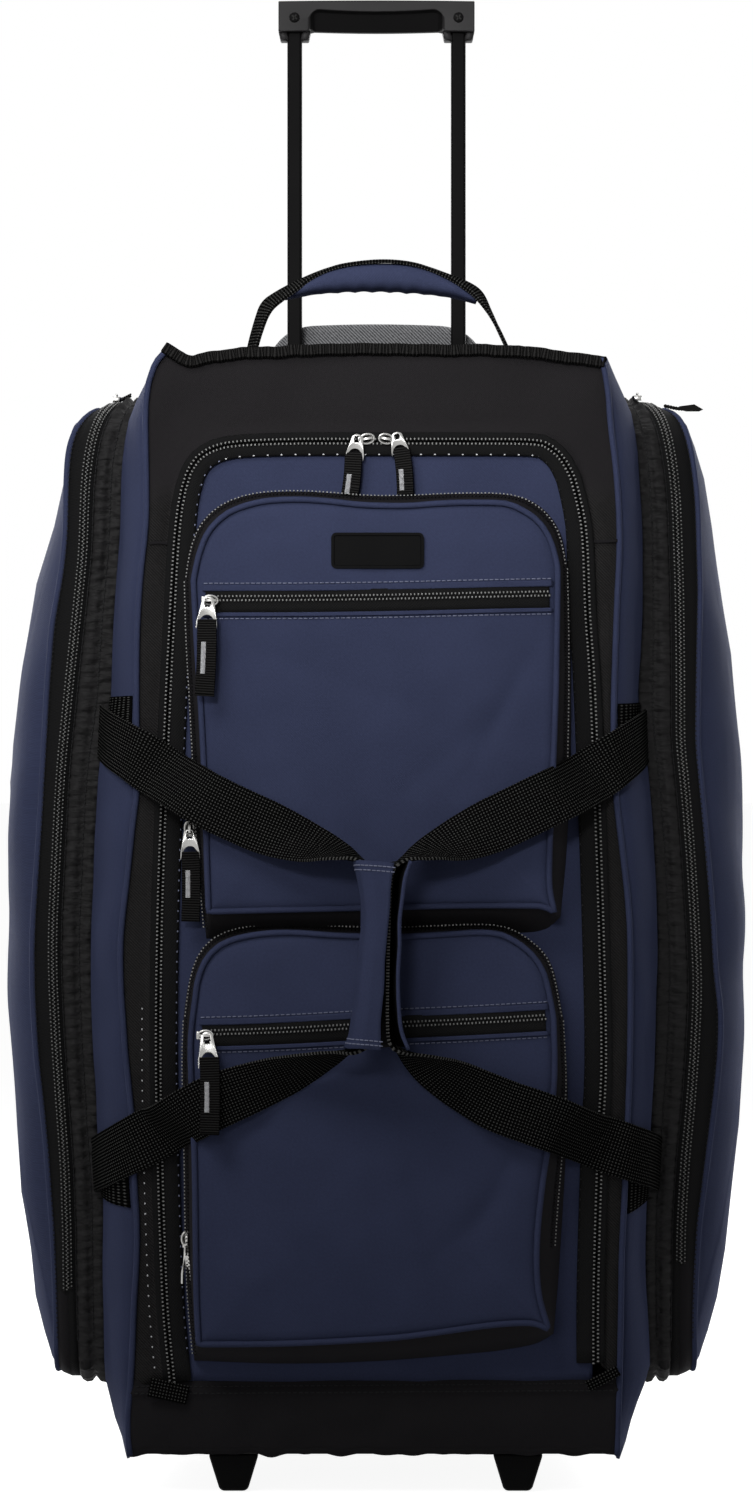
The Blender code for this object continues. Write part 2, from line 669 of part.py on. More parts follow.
def side_edge(z):
    """Where a side pocket's lid turns the corner from its front wall to its outer panel."""
    share = min(max((z - SIDE_BOTTOM_Z) / SIDE_POCKET_HEIGHT, 0.0), 1.0)
    return rear_half_width(z) + SIDE_EDGE_PROUD + SIDE_EDGE_SWELL * math.sin(math.pi * share)


def side_crown(z):
    share = min(max((z - SIDE_BOTTOM_Z) / SIDE_POCKET_HEIGHT, 0.0), 1.0)
    return SIDE_CROWN_END + SIDE_CROWN * math.sin(math.pi * share)


def band_solid(name, sign, wall, reach):
    """The space between the gusset and the side zip, inside a wall, reaching past both by a distance."""
    sections = []
    for z, pull_in in side_levels(wall):
        near = rear_half_width(z) + CLEARANCE - reach
        far = side_edge(z) - SIDE_ZIP_SETBACK - CLEARANCE / 2 + reach
        front = SIDE_FRONT_Y + wall + pull_in
        back = SIDE_FRONT_Y + SIDE_POCKET_DEPTH - wall - pull_in
        section = [(near, front), (far, front), (far, back), (near, back)]
        sections.append([(sign * x, y, z) for x, y in section])
    return loft(name, sections, "black_cloth")


def lid_solid(name, sign, wall, reach):
    """The space outside the side zip, inside a wall, reaching back past the zip by a distance."""
    sections = []
    for z, pull_in in side_levels(wall):
        near = side_edge(z) - SIDE_ZIP_SETBACK + CLEARANCE / 2 - reach
        edge = side_edge(z) - wall
        front = SIDE_FRONT_Y + wall + pull_in
        back = SIDE_FRONT_Y + SIDE_POCKET_DEPTH - wall - pull_in
        section = [(near, front)]
        for share in (0.0, 0.12, 0.30, 0.50, 0.70, 0.88, 1.0):
            crown = side_crown(z) * (1 - (2 * share - 1) ** 2)
            section.append((edge + crown, front + (back - front) * share))
        section.append((near, back))
        sections.append([(sign * x, y, z) for x, y in section])
    return loft(name, sections, "navy_cloth")


def make_side_pockets():
    past = 4 * SIDE_POCKET_WALL
    for side, sign in SIDES.items():
        band = band_solid("side_band_" + side, sign, 0.0, 0.0)
        boolean(band, band_solid("side_band_hollow_" + side, sign, SIDE_POCKET_WALL, past), "DIFFERENCE")
        lid = lid_solid("side_lid_" + side, sign, 0.0, 0.0)
        boolean(lid, lid_solid("side_lid_hollow_" + side, sign, SIDE_POCKET_WALL, past), "DIFFERENCE")
        middle_y = SIDE_FRONT_Y + SIDE_POCKET_DEPTH / 2
        pivot("side_lid_axis_" + side, (sign * side_edge(SIDE_BOTTOM_Z), middle_y, SIDE_BOTTOM_Z), [lid])
        x = sign * (side_edge(SIDE_TOP_Z) - SIDE_ZIP_SETBACK - SIDE_TAB_WIDTH / 2 - CLEARANCE)
        start = SIDE_FRONT_Y + SIDE_POCKET_RADIUS
        bottom = SIDE_TOP_Z + CLEARANCE
        low = (x - SIDE_TAB_WIDTH / 2, start, bottom)
        high = (x + SIDE_TAB_WIDTH / 2, start + SIDE_TAB_LENGTH, bottom + SIDE_TAB_THICKNESS)
        tab = box("side_slider_" + side, low, high, "nickel")
        round_edges(tab, SIDE_TAB_THICKNESS / 4, 1)
        pivot("side_slider_axis_" + side, tab.location, [tab])


# Carry straps, wrap and grab handle


def strap_branch(z, sign):
    """Stations from an anchor on the side gusset to the wrap. sign is +1 for the upper branch."""
    outward = STRAP_THICKNESS / 2 + 2 * CLEARANCE
    edge = front_half_width(z)
    flare = Vector((rear_half_width(z) - edge, FLARE_DEPTH)).normalized()
    lift_x, lift_y = outward * flare.y, -outward * flare.x
    face_y = POCKET_FACE_Y - STRAP_STANDOFF
    wrap_end = WRAP_CENTRE_HEIGHT + sign * WRAP_HEIGHT / 2
    drop = wrap_end - z
    clear = STRAP_THICKNESS + 3 * CLEARANCE
    anchor = (rear_half_width(z) + lift_x, FLARE_Y + lift_y - STRAP_THICKNESS, z)
    corner = (edge + lift_x + clear / 2, FRONT_Y - clear / 2, z + drop * 0.13)
    half = POCKET_HALF_WIDTH
    up, back = Vector((0, 0, sign)), Vector((0, 1, 0))
    return [
        (anchor, up),
        (corner, up),
        ((edge - clear, FRONT_Y - ZIP_TAPE_THICKNESS - 2 * clear, z + drop * 0.19), up),
        (((edge + half) / 2, (FRONT_Y + face_y) / 2 - clear, z + drop * 0.32), up),
        ((half, face_y, z + drop * 0.44), up),
        ((half - 3 * POCKET_EDGE_ROUND, face_y, z + drop * 0.56), up),
        ((half * 0.55, face_y - 2 * clear, z + drop * 0.74), up * 0.9 + back * 0.3),
        ((half * 0.32, face_y + (WRAP_Y - face_y) * 0.45, z + drop * 0.88), up * 0.6 + back * 0.7),
        ((half * 0.13, face_y + (WRAP_Y - face_y) * 0.85, z + drop * 0.98), up * 0.2 + back),
    ]


def make_straps():
    run_x = STRAP_THICKNESS / 2 + CLEARANCE
    for side, sign in SIDES.items():
        upper = strap_branch(STRAP_UPPER_HEIGHT, 1)
        lower = strap_branch(STRAP_LOWER_HEIGHT, -1)
        back = Vector((0, 1, 0))
        levels = [WRAP_CENTRE_HEIGHT + share * WRAP_HEIGHT for share in (0.46, 0.0, -0.46)]
        run = [((run_x, WRAP_Y, z), back) for z in levels]
        stations = upper + run + lower[::-1]
        stations = [((sign * x, y, z), hint) for (x, y, z), hint in stations]
        strap = ribbon("carry_strap_" + side, stations, STRAP_WIDTH, STRAP_THICKNESS, "black_webbing")
        anchor_x, anchor_y, _ = upper[0][0]
        middle_z = (STRAP_UPPER_HEIGHT + STRAP_LOWER_HEIGHT) / 2
        pieces = [strap]
        if side == "left":
            pieces.append(make_wrap())
        pivot("strap_axis_" + side, (sign * anchor_x, anchor_y, middle_z), pieces)


def make_wrap():
    """A padded sleeve that lies close round both straps."""
    corner = WRAP_HALF_WIDTH * 0.8
    outer = rounded_outline(WRAP_HALF_WIDTH, -WRAP_HALF_DEPTH, WRAP_HALF_DEPTH, corner, corner)
    slot = STRAP_THICKNESS + 2 * CLEARANCE
    depth = WRAP_HALF_DEPTH - WRAP_WALL
    inner = rounded_outline(slot, -depth, depth, CLEARANCE, CLEARANCE)
    centre = (0, WRAP_Y, WRAP_CENTRE_HEIGHT)
    length = WRAP_HEIGHT * 0.84
    return plate("strap_wrap", [outer, inner], length, centre, "navy_cloth", upright=False)


def grab_curve(share):
    """(x, height above the top panel) along the grab handle, from 0 at its left end to 1 at its right."""
    angle = math.pi * share
    x = -GRAB_HALF_SPAN * math.copysign(abs(math.cos(angle)) ** 0.72, math.cos(angle))
    rise = GRAB_RISE * math.sin(angle) ** 0.62
    return x, rise


def make_grab_handle():
    y = FRONT_Y + GRAB_SETBACK
    base_z = TOP_Z + CLEARANCE
    across = Vector((0, 1, 0))
    shares = [i / 16 for i in range(17)]
    stations = [((x, y, base_z + rise), across) for x, rise in map(grab_curve, shares)]
    webbing = ribbon("grab_webbing", stations, GRAB_WIDTH, GRAB_WEBBING, "black_webbing")
    drop = GRAB_WEBBING / 2 + CLEARANCE + GRAB_PAD_THICKNESS / 2
    sections = []
    for share in shares:
        x, rise = grab_curve(share)
        if abs(x) > GRAB_PAD_HALF_SPAN:
            continue
        fullness = math.sqrt(1 - 0.75 * (x / GRAB_PAD_HALF_SPAN) ** 2)
        half_height = GRAB_PAD_THICKNESS / 2 * fullness
        half_width = GRAB_WIDTH / 2
        centre_z = base_z + rise - drop + GRAB_PAD_THICKNESS / 2 * (1 - fullness)
        section = []
        for corner in range(8):
            turn = math.radians(45 * corner + 22.5)
            section.append((x, y + half_width * math.cos(turn), centre_z + half_height * math.sin(turn)))
        sections.append(section)
    pad = loft("grab_pad", sections, "navy_cloth")
    pivot("grab_axis", (0, y, base_z), [webbing, pad])


# Trolley handle


def square_cutter(name, x, z, gap, reach):
    """A hole for a tube with a gap round it, reaching up and down from a height."""
    half = TUBE_HALF_WIDTH + gap
    low = (x - half, TUBE_Y - half, z - reach)
    return box(name, low, (x + half, TUBE_Y + half, z + reach), "black_plastic")


def make_trolley():
    bore = square_outline(TUBE_HALF_WIDTH + TUBE_RUNNING_GAP)
    bracket_z = BOTTOM_Z + BASE_BOARD_THICKNESS + CLEARANCE
    sleeve_bottom = bracket_z + BRACKET_HEIGHT + CLEARANCE
    guide_bottom = TOP_Z - GUIDE_HEIGHT + GUIDE_PROUD
    sleeve_top = guide_bottom - CLEARANCE
    low = (-GUIDE_HALF_WIDTH, BAY_FRONT_Y, guide_bottom)
    high = (GUIDE_HALF_WIDTH, WALL_BACK_Y, TOP_Z + GUIDE_PROUD)
    guide = box("trolley_guide", low, high, "black_plastic")
    low = (-GUIDE_HALF_WIDTH, BAY_FRONT_Y, bracket_z)
    high = (GUIDE_HALF_WIDTH, WALL_BACK_Y, bracket_z + BRACKET_HEIGHT)
    bracket = box("trolley_bracket", low, high, "black_plastic")
    round_edges(bracket, GRIP_ROUND / 3, 1)
    grip, screws = make_grip()
    moving = [grip, *screws]
    for side, sign in SIDES.items():
        x = sign * TUBE_SPACING / 2
        sleeve = [square_outline(SLEEVE_HALF_WIDTH), bore]
        length = sleeve_top - sleeve_bottom
        middle = (x, TUBE_Y, sleeve_bottom + length / 2)
        plate("outer_tube_" + side, sleeve, length, middle, "black_tube", upright=False)
        top = GRIP_BOTTOM_Z + GRIP_SOCKET - CLEARANCE
        bottom = TOP_Z - TUBE_ENGAGEMENT
        middle = (x, TUBE_Y, (top + bottom) / 2)
        tube = [square_outline(TUBE_HALF_WIDTH)]
        moving.append(plate("inner_tube_" + side, tube, top - bottom, middle, "black_tube", upright=False))
        hole = square_cutter("guide_hole_" + side, x, TOP_Z, TUBE_RUNNING_GAP, 2 * GUIDE_HEIGHT)
        boolean(guide, hole, "DIFFERENCE")
    pivot("trolley_axis", (0, TUBE_Y, GRIP_BOTTOM_Z), moving)


def make_grip():
    front, back = TUBE_Y - GRIP_DEPTH / 2, TUBE_Y + GRIP_DEPTH / 2
    top = GRIP_BOTTOM_Z + GRIP_HEIGHT
    inner = GRIP_WIDTH / 2 - GRIP_END_WIDTH
    bar_top = top - GRIP_BAR_INSET
    low = (-inner - GRIP_ROUND, front + GRIP_BAR_INSET, bar_top - GRIP_BAR_HEIGHT)
    high = (inner + GRIP_ROUND, back - GRIP_BAR_INSET, bar_top)
    grip = box("trolley_grip", low, high, "black_plastic")
    screws = []
    for side, sign in SIDES.items():
        near, far = sorted((sign * inner, sign * GRIP_WIDTH / 2))
        low = (near, front, GRIP_BOTTOM_Z)
        end = box("grip_end_" + side, low, (far, back, top), "black_plastic")
        round_edges(end, GRIP_ROUND)
        boolean(grip, end, "UNION")
        x = sign * TUBE_SPACING / 2
        socket = square_cutter("grip_socket_" + side, x, GRIP_BOTTOM_Z, CLEARANCE, GRIP_SOCKET)
        boolean(grip, socket, "DIFFERENCE")
        centre = (x, front - CLEARANCE - SCREW_HEIGHT / 2, GRIP_BOTTOM_Z + GRIP_HEIGHT * 0.6)
        name = "grip_screw_" + side
        screws.append(rod(name, SCREW_RADIUS, SCREW_HEIGHT, centre, (0, 1, 0), "steel", sides=12))
    return grip, screws


def make_rear_cap():
    low, high = TOP_Z - CAP_DROP, TOP_Z + CAP_RISE
    outline = rounded_outline(CAP_HALF_WIDTH, low, high, 2 * CAP_ROUND, CAP_RISE * 0.8)
    centre = (0, BACK_Y + CLEARANCE + CAP_THICKNESS / 2, 0)
    plate("rear_cap", [outline], CAP_THICKNESS, centre, "grey_cloth", edge_round=CAP_ROUND)


# Wheels


def make_wheels():
    half = WHEEL_WIDTH / 2
    bore = AXLE_RADIUS + AXLE_GAP
    shoulder = WHEEL_RADIUS * 0.12
    profile = [
        (bore, half),
        (WHEEL_RADIUS * 0.45, half),
        (WHEEL_RADIUS * 0.50, half * 0.75),
        (WHEEL_RADIUS * 0.72, half * 0.75),
        (WHEEL_RADIUS * 0.76, half),
        (WHEEL_RADIUS - shoulder, half),
        (WHEEL_RADIUS, half - shoulder),
    ]
    profile += [(radius, -height) for radius, height in reversed(profile)]
    for side, sign in SIDES.items():
        centre = (sign * WHEEL_OFFSET, WHEEL_Y, WHEEL_RADIUS)
        wheel = turned("wheel_" + side, profile, centre, (1, 0, 0), "wheel_rubber")
        pivot("wheel_axis_" + side, centre, [wheel])
        axle_length = 2 * (HOUSING_HALF_WIDTH - CLEARANCE)
        rod("wheel_axle_" + side, AXLE_RADIUS, axle_length, centre, (1, 0, 0), "steel", sides=16)
        low = (centre[0] - HOUSING_HALF_WIDTH, HOUSING_FRONT_Y, HOUSING_BOTTOM_Z)
        high = (centre[0] + HOUSING_HALF_WIDTH, BACK_Y, HOUSING_TOP_Z)
        housing = box("wheel_housing_" + side, low, high, "black_plastic")
        width = WHEEL_WIDTH + 2 * WHEEL_GAP
        well = rod("wheel_well_" + side, WHEEL_WELL, width, centre, (1, 0, 0), "black_plastic")
        boolean(housing, well, "DIFFERENCE")
        width = 3 * HOUSING_HALF_WIDTH
        hole = rod("axle_hole_" + side, bore, width, centre, (1, 0, 0), "black_plastic", sides=16)
        boolean(housing, hole, "DIFFERENCE")


make_front_frame()
make_side_gussets()
make_top_panel()
make_base()
make_back()
make_feet()
make_flap()
make_side_pockets()
make_straps()
make_grab_handle()
make_trolley()
make_rear_cap()
make_wheels()
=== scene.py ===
import math

import bmesh
import bpy
from bmesh.types import BMEdge, BMFace, BMVert
from mathutils import Matrix, Vector, noise
from mathutils.bvhtree import BVHTree


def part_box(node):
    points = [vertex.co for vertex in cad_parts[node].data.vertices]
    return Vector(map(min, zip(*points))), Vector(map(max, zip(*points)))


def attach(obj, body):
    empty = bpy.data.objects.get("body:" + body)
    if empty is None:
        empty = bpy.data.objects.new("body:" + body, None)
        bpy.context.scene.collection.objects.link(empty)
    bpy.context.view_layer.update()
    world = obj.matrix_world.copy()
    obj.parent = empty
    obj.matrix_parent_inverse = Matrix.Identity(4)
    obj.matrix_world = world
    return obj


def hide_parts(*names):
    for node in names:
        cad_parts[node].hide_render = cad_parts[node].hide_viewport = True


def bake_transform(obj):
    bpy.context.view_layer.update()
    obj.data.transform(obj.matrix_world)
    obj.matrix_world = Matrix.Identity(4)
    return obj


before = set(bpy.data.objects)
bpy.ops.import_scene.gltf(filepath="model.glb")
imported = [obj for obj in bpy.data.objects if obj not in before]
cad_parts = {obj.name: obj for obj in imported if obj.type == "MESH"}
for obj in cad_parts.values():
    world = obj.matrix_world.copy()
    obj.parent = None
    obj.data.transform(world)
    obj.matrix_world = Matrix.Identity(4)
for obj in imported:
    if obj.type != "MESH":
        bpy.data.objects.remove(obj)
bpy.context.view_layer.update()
print("frame loaded:", len(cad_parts), "solids")

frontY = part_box("front_frame")[0].y
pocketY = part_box("upper_pocket")[0].y
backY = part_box("back_cover")[1].y
bottomZ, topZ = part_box("base_panel")[0].z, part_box("top_panel")[1].z
sideFrontY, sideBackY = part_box("side_band_left")[0].y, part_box("side_band_left")[1].y
sideBottomZ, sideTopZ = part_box("side_band_left")[0].z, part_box("side_band_left")[1].z
forward = Vector((0, -1, 0))

# the photo's frame: metres per pixel on the bag's front, and the pixel that the camera looks at
view = {"distance": 3.1, "height": 0.5117, "pixel": 0.000685, "column": 376.5, "row": 750.0, "rows": 1500}


def seen(px, py, y):
    # the point at depth y that the photo shows at this pixel
    scale = view["pixel"] * (view["distance"] + y - frontY) / view["distance"]
    return Vector(((px - view["column"]) * scale, y, view["height"] + (view["row"] - py) * scale))


def seenLine(pixels, y):
    return [seen(px, py, y) for px, py in pixels]


def within(value):
    return min(max(value, 0.0), 1.0)


def evenly(points, count):
    # the same line with evenly spaced points
    run = [0.0]
    for a, b in zip(points, points[1:]):
        run.append(run[-1] + (b - a).length)
    line, k = [], 0
    for i in range(count):
        want = run[-1] * i / (count - 1)
        while k < len(points) - 2 and run[k + 1] < want:
            k += 1
        share = (want - run[k]) / max(run[k + 1] - run[k], 1e-9)
        line.append(points[k].lerp(points[k + 1], within(share)))
    return line


def smoothLine(points, count):
    # evenly spaced points on a smooth line through the given ones
    knots = [Vector(point) for point in points]
    knots = [2 * knots[0] - knots[1]] + knots + [2 * knots[-1] - knots[-2]]
    dense = []
    for a, b, c, d in zip(knots, knots[1:], knots[2:], knots[3:]):
        for step in range(10):
            t = step / 10
            bend = (2 * a - 5 * b + 4 * c - d) * t * t + (3 * b - a - 3 * c + d) * t ** 3
            dense.append(0.5 * (2 * b + (c - a) * t + bend))
    dense.append(knots[-2].copy())
    return evenly(dense, count)


def shifted(line, x, y, z):
    return [point + Vector((x, y, z)) for point in line]


def lineLength(points):
    return sum((b - a).length for a, b in zip(points, points[1:]))


def ripple(x, z, size, height, seed=0.0):
    return height * noise.noise(Vector((x / size, z / size, seed)))


def creaseDepth(creases, x, z):
    # soft folds, each from one point to another with a width and a depth
    total = 0.0
    for x0, z0, x1, z1, width, depth in creases:
        dx, dz = x1 - x0, z1 - z0
        share = ((x - x0) * dx + (z - z0) * dz) / (dx * dx + dz * dz)
        near = within(share)
        away = math.hypot(x - x0 - near * dx, z - z0 - near * dz) / width
        total += depth * math.exp(-away * away) * math.sin(math.pi * min(max(near, 0.08), 0.92))
    return total


# finishes


class Wire:
    # one output of a shader node, on which arithmetic adds Math nodes
    def __init__(self, nodes, socket):
        self.nodes, self.socket = nodes, socket

    def reckon(self, operation, *values):
        return self.nodes.node("ShaderNodeMath", {"operation": operation}, dict(enumerate(values)))

    def __add__(self, other):
        return self.reckon("ADD", self, other)

    def __sub__(self, other):
        return self.reckon("SUBTRACT", self, other)

    def __rsub__(self, other):
        return self.reckon("SUBTRACT", other, self)

    def __mul__(self, other):
        return self.reckon("MULTIPLY", self, other)

    def __truediv__(self, other):
        return self.reckon("DIVIDE", self, other)

    def __rtruediv__(self, other):
        return self.reckon("DIVIDE", other, self)

    __radd__, __rmul__ = __add__, __mul__

    def wave(self):
        return self.reckon("SINE", self)

    def larger(self, other):
        return self.reckon("MAXIMUM", self, other)

    def above(self, level, blur):
        # 0 below a level and 1 above it, with a soft step
        return self.nodes.node(
            "ShaderNodeMapRange",
            {"interpolation_type": "SMOOTHSTEP"},
            {"Value": self, "From Min": level - blur, "From Max": level + blur},
        )


class Nodes:
    # a node tree, and the one way to add a node to it
    def __init__(self, tree):
        self.tree = tree

    def node(self, kind, settings=None, sockets=None, output=0):
        made = self.tree.nodes.new(kind)
        for key, value in (settings or {}).items():
            setattr(made, key, value)
        for key, value in (sockets or {}).items():
            if isinstance(value, Wire):
                self.tree.links.new(value.socket, made.inputs[key])
            else:
                made.inputs[key].default_value = value
        return Wire(self, made.outputs[output])

    def show(self, wire, outlet):
        self.tree.links.new(wire.socket, self.tree.nodes[outlet].inputs["Surface"])


class Finish(Nodes):
    # a material with one main shader, whose even values are set on its own sockets
    def __init__(self, name, fixed):
        self.material = bpy.data.materials.new(name)
        self.material.use_nodes = True
        super().__init__(self.material.node_tree)
        self.shader = self.tree.nodes["Principled BSDF"]
        for socket, value in fixed.items():
            self.shader.inputs[socket].default_value = value

    def feed(self, **wires):
        for socket, wire in wires.items():
            self.tree.links.new(wire.socket, self.shader.inputs[socket.replace("_", " ")])
        return self.material

    def place(self, onWeave):
        # the piece's own weave map in metres, or its object coordinates
        if onWeave:
            return self.node("ShaderNodeUVMap", {"uv_map": "weave"})
        return self.node("ShaderNodeTexCoord", output=3)

    def parts(self, vector):
        return [self.node("ShaderNodeSeparateXYZ", None, {0: vector}, i) for i in range(3)]

    def noise(self, vector, size, detail=2.0):
        sockets = {"Vector": vector, "Scale": 1 / size, "Detail": detail}
        return self.node("ShaderNodeTexNoise", None, sockets)

    def mix(self, share, first, second):
        return self.node("ShaderNodeMix", {"data_type": "RGBA"}, {0: share, 6: first, 7: second}, 2)

    def shades(self, share, look):
        return self.mix(share, tint(look["dark"]), tint(look["light"]))

    def bump(self, height, depth):
        return self.node("ShaderNodeBump", None, {"Height": height, "Distance": depth, "Strength": 1.0})


def tint(colour, share=1.0):
    return (*[min(c * share, 1.0) for c in colour], 1.0)


clothLook = {
    "navy": dict(colour=(0.0415, 0.0497, 0.0990), thread=0.00055, rough=0.74, sheen=0.0, gloss=0.02, depth=0.00013),
    "black": dict(colour=(0.0125, 0.0117, 0.0130), thread=0.0006, rough=0.66, sheen=0.03, gloss=0.04, depth=0.00013),
    "tape": dict(colour=(0.0085, 0.0085, 0.0088), thread=0.0010, rough=0.66, sheen=0.03, gloss=0.04, depth=0.00022),
    "lining": dict(colour=(0.022, 0.022, 0.024), thread=0.0008, rough=0.75, sheen=0.06, gloss=0.10, depth=0.00012),
}


def wovenCloth(name, look):
    # plain weave: threads over and under, a little uneven in colour
    cloth = Finish(name, {"Sheen Weight": look["sheen"], "Sheen Roughness": 0.45, "Specular IOR Level": look["gloss"]})
    cloth.shader.inputs["Sheen Tint"].default_value = tint(look["colour"], 7.0)
    place = cloth.place(True)
    across, along, _ = cloth.parts(place)
    pitch = math.pi / look["thread"]
    over = (across * pitch).wave() * (along * pitch).wave()
    slub = cloth.noise(place, 0.0016)
    cloud = cloth.noise(place, 0.05)
    share = over * 0.18 + slub * 0.55 + cloud * 0.5 - 0.03
    colour = cloth.mix(share, tint(look["colour"], 0.70), tint(look["colour"], 1.30))
    rough = cloud * 0.12 + slub * 0.10 + (look["rough"] - 0.11)
    height = over * 0.5 + slub * 0.5
    return cloth.feed(Base_Color=colour, Roughness=rough, Normal=cloth.bump(height, look["depth"]))


def panelCloth(name, look):
    # black panels: smooth weave above the yoke seam and a coarser one below it
    cloth = Finish(name, {"Sheen Weight": 0.03, "Sheen Roughness": 0.5, "Specular IOR Level": 0.05})
    cloth.shader.inputs["Sheen Tint"].default_value = tint(look["fine"], 6.0)
    place = cloth.place(False)
    x, _, z = cloth.parts(place)
    yoke = z.above(look["seam"], 0.012)
    finePitch, coarsePitch = math.pi / look["fineThread"], math.pi / look["coarseThread"]
    fine = (x * finePitch).wave() * (z * finePitch).wave()
    coarse = ((x + z) * coarsePitch).wave() * 0.75 + (z * coarsePitch * 2).wave() * 0.25
    slub = cloth.noise(place, 0.002)
    cloud = cloth.noise(place, 0.06)
    share = slub * 0.5 + cloud * 0.5 + coarse * 0.35 * (1 - yoke) + fine * 0.08
    low = cloth.mix(yoke, tint(look["coarse"], 0.30), tint(look["fine"], 0.75))
    high = cloth.mix(yoke, tint(look["coarse"], 2.0), tint(look["fine"], 1.22))
    height = fine * yoke * 0.4 + coarse * (1 - yoke) + slub * 0.3
    rough = cloud * 0.14 + 0.58
    return cloth.feed(Base_Color=cloth.mix(share, low, high), Roughness=rough, Normal=cloth.bump(height, 0.0002))


def ruchedCloth(name, look):
    # gathered cloth: short uneven folds across the band, painted darker in their hollows as painted shade and lighter
    # on their ridges as painted highlight
    cloth = Finish(name, {"Specular IOR Level": 0.10})
    place = cloth.place(True)
    along, across, _ = cloth.parts(place)
    stretched = cloth.node("ShaderNodeCombineXYZ", None, {0: along / look["fold"], 1: across / look["reach"]})
    fold = cloth.noise(stretched, 1.0)
    slub = cloth.noise(place, 0.0016)
    share = fold.above(0.52, 0.17) * 0.8 + slub * 0.35 - 0.05
    colour = cloth.shades(share, look)
    relief = cloth.bump(fold + slub * 0.06, look["depth"])
    return cloth.feed(Base_Color=colour, Roughness=fold * 0.3 + 0.42, Normal=relief)


def webbing(name, look):
    # heavy strap: bright diagonal dots on black
    band = Finish(name, {"Specular IOR Level": 0.0})
    place = band.place(True)
    across, along, _ = band.parts(place)
    pitch = math.pi / look["pitch"]
    dots = ((across + along) * pitch).wave() * ((across - along) * pitch).wave()
    fleck = band.noise(place, 0.0013)
    share = (dots * 0.8 + fleck * 0.55).above(0.72, 0.26)
    colour = band.shades(share, look)
    height = dots * 0.7 + fleck * 0.5
    rough = fleck * 0.25 + 0.42
    return band.feed(Base_Color=colour, Roughness=rough, Normal=band.bump(height, look["depth"]))


def ribbedTape(name, look):
    # grosgrain: ribs across the tape
    band = Finish(name, {"Specular IOR Level": 0.0})
    place = band.place(True)
    _, along, _ = band.parts(place)
    ribs = (along * (math.pi * 2 / look["rib"])).wave()
    fleck = band.noise(place, 0.0011)
    share = ribs * 0.35 + fleck * 0.6
    colour = band.shades(share, look)
    return band.feed(Base_Color=colour, Roughness=fleck * 0.2 + 0.5, Normal=band.bump(ribs + fleck * 0.6, 0.00025))


def heatherTwill(name, look):
    # flecked grey with a fine diagonal
    band = Finish(name, {"Sheen Weight": 0.15, "Specular IOR Level": 0.15})
    place = band.place(False)
    x, _, z = band.parts(place)
    twill = ((x + z) * (math.pi * 2 / look["pitch"])).wave()
    fleck = band.noise(place, 0.0016, 3.0)
    share = twill * 0.45 + fleck * 1.1 - 0.05
    colour = band.shades(share, look)
    return band.feed(Base_Color=colour, Roughness=fleck * 0.2 + 0.7, Normal=band.bump(twill + fleck, 0.0003))


def hardFinish(name, look):
    # plastic, paint, metal or rubber: fine grain, smudges and a little wear
    hard = Finish(name, {"Metallic": look.get("metal", 0.0), "Specular IOR Level": look.get("gloss", 0.5)})
    place = hard.place(False)
    grain = hard.noise(place, look["grain"], 3.0)
    smudge = hard.noise(place, 0.03, 3.0)
    share = smudge * 0.7 + grain * 0.3
    colour = hard.mix(share, tint(look["colour"], 0.75), tint(look["colour"], 1.25))
    rough = smudge * look["spread"] + grain * look["spread"] * 0.5 + (look["rough"] - look["spread"] * 0.75)
    return hard.feed(Base_Color=colour, Roughness=rough, Normal=hard.bump(grain, look["depth"]))


threadLook = dict(grain=0.0006, rough=0.7, spread=0.1, depth=0.0001)
hardLook = {
    "nickel": dict(colour=(0.37, 0.366, 0.355), metal=1.0, grain=0.0012, rough=0.27, spread=0.14, depth=0.00004),
    # painted highlight: this light grey on the coils' bends stands in for the glints on a black coil
    "teeth": dict(colour=(0.25, 0.25, 0.244), gloss=0.2, grain=0.001, rough=0.34, spread=0.14, depth=0.00003),
    "coil": dict(colour=(0.012, 0.012, 0.0118), gloss=0.05, grain=0.001, rough=0.36, spread=0.14, depth=0.00003),
    "plastic": dict(colour=(0.0130, 0.0123, 0.0130), gloss=0.16, grain=0.0006, rough=0.48, spread=0.12, depth=0.00002),
    # the recess finish is the plastic painted darker and duller: painted shade in the grip's recess and on the pockets'
    # gusset coils, and on the grip's upward faces it paints out their highlight
    "recess": dict(colour=(0.0050, 0.0048, 0.0050), gloss=0.04, grain=0.0006, rough=0.50, spread=0.10, depth=0.00004),
    "tube": dict(colour=(0.0042, 0.0040, 0.0042), gloss=0.02, grain=0.0015, rough=0.42, spread=0.10, depth=0.000005),
    "board": dict(colour=(0.020, 0.0195, 0.019), gloss=0.2, grain=0.0015, rough=0.72, spread=0.12, depth=0.0001),
    "rubber": dict(colour=(0.0056, 0.0056, 0.0058), gloss=0.02, grain=0.0008, rough=0.50, spread=0.14, depth=0.00008),
    "tread": dict(colour=(0.014, 0.014, 0.0145), gloss=0.3, grain=0.001, rough=0.62, spread=0.2, depth=0.00012),
    "steel": dict(colour=(0.20, 0.20, 0.205), metal=1.0, grain=0.0008, rough=0.38, spread=0.16, depth=0.00003),
    "whiteThread": dict(colour=(0.62, 0.62, 0.64), gloss=0.3, **threadLook),
    "darkThread": dict(colour=(0.022, 0.022, 0.023), gloss=0.05, **threadLook),
    "navyThread": dict(colour=(0.175, 0.190, 0.275), gloss=0.2, **threadLook),
}
finishes = {key + "Cloth": wovenCloth(key + "Cloth", look) for key, look in clothLook.items()}
finishes.update({key: hardFinish(key, look) for key, look in hardLook.items()})
panelLook = {
    "seam": seen(0, 492, frontY).z, "fine": (0.0150, 0.0138, 0.0151), "coarse": (0.0140, 0.0134, 0.0136),
    "fineThread": 0.0006, "coarseThread": 0.0011,
}
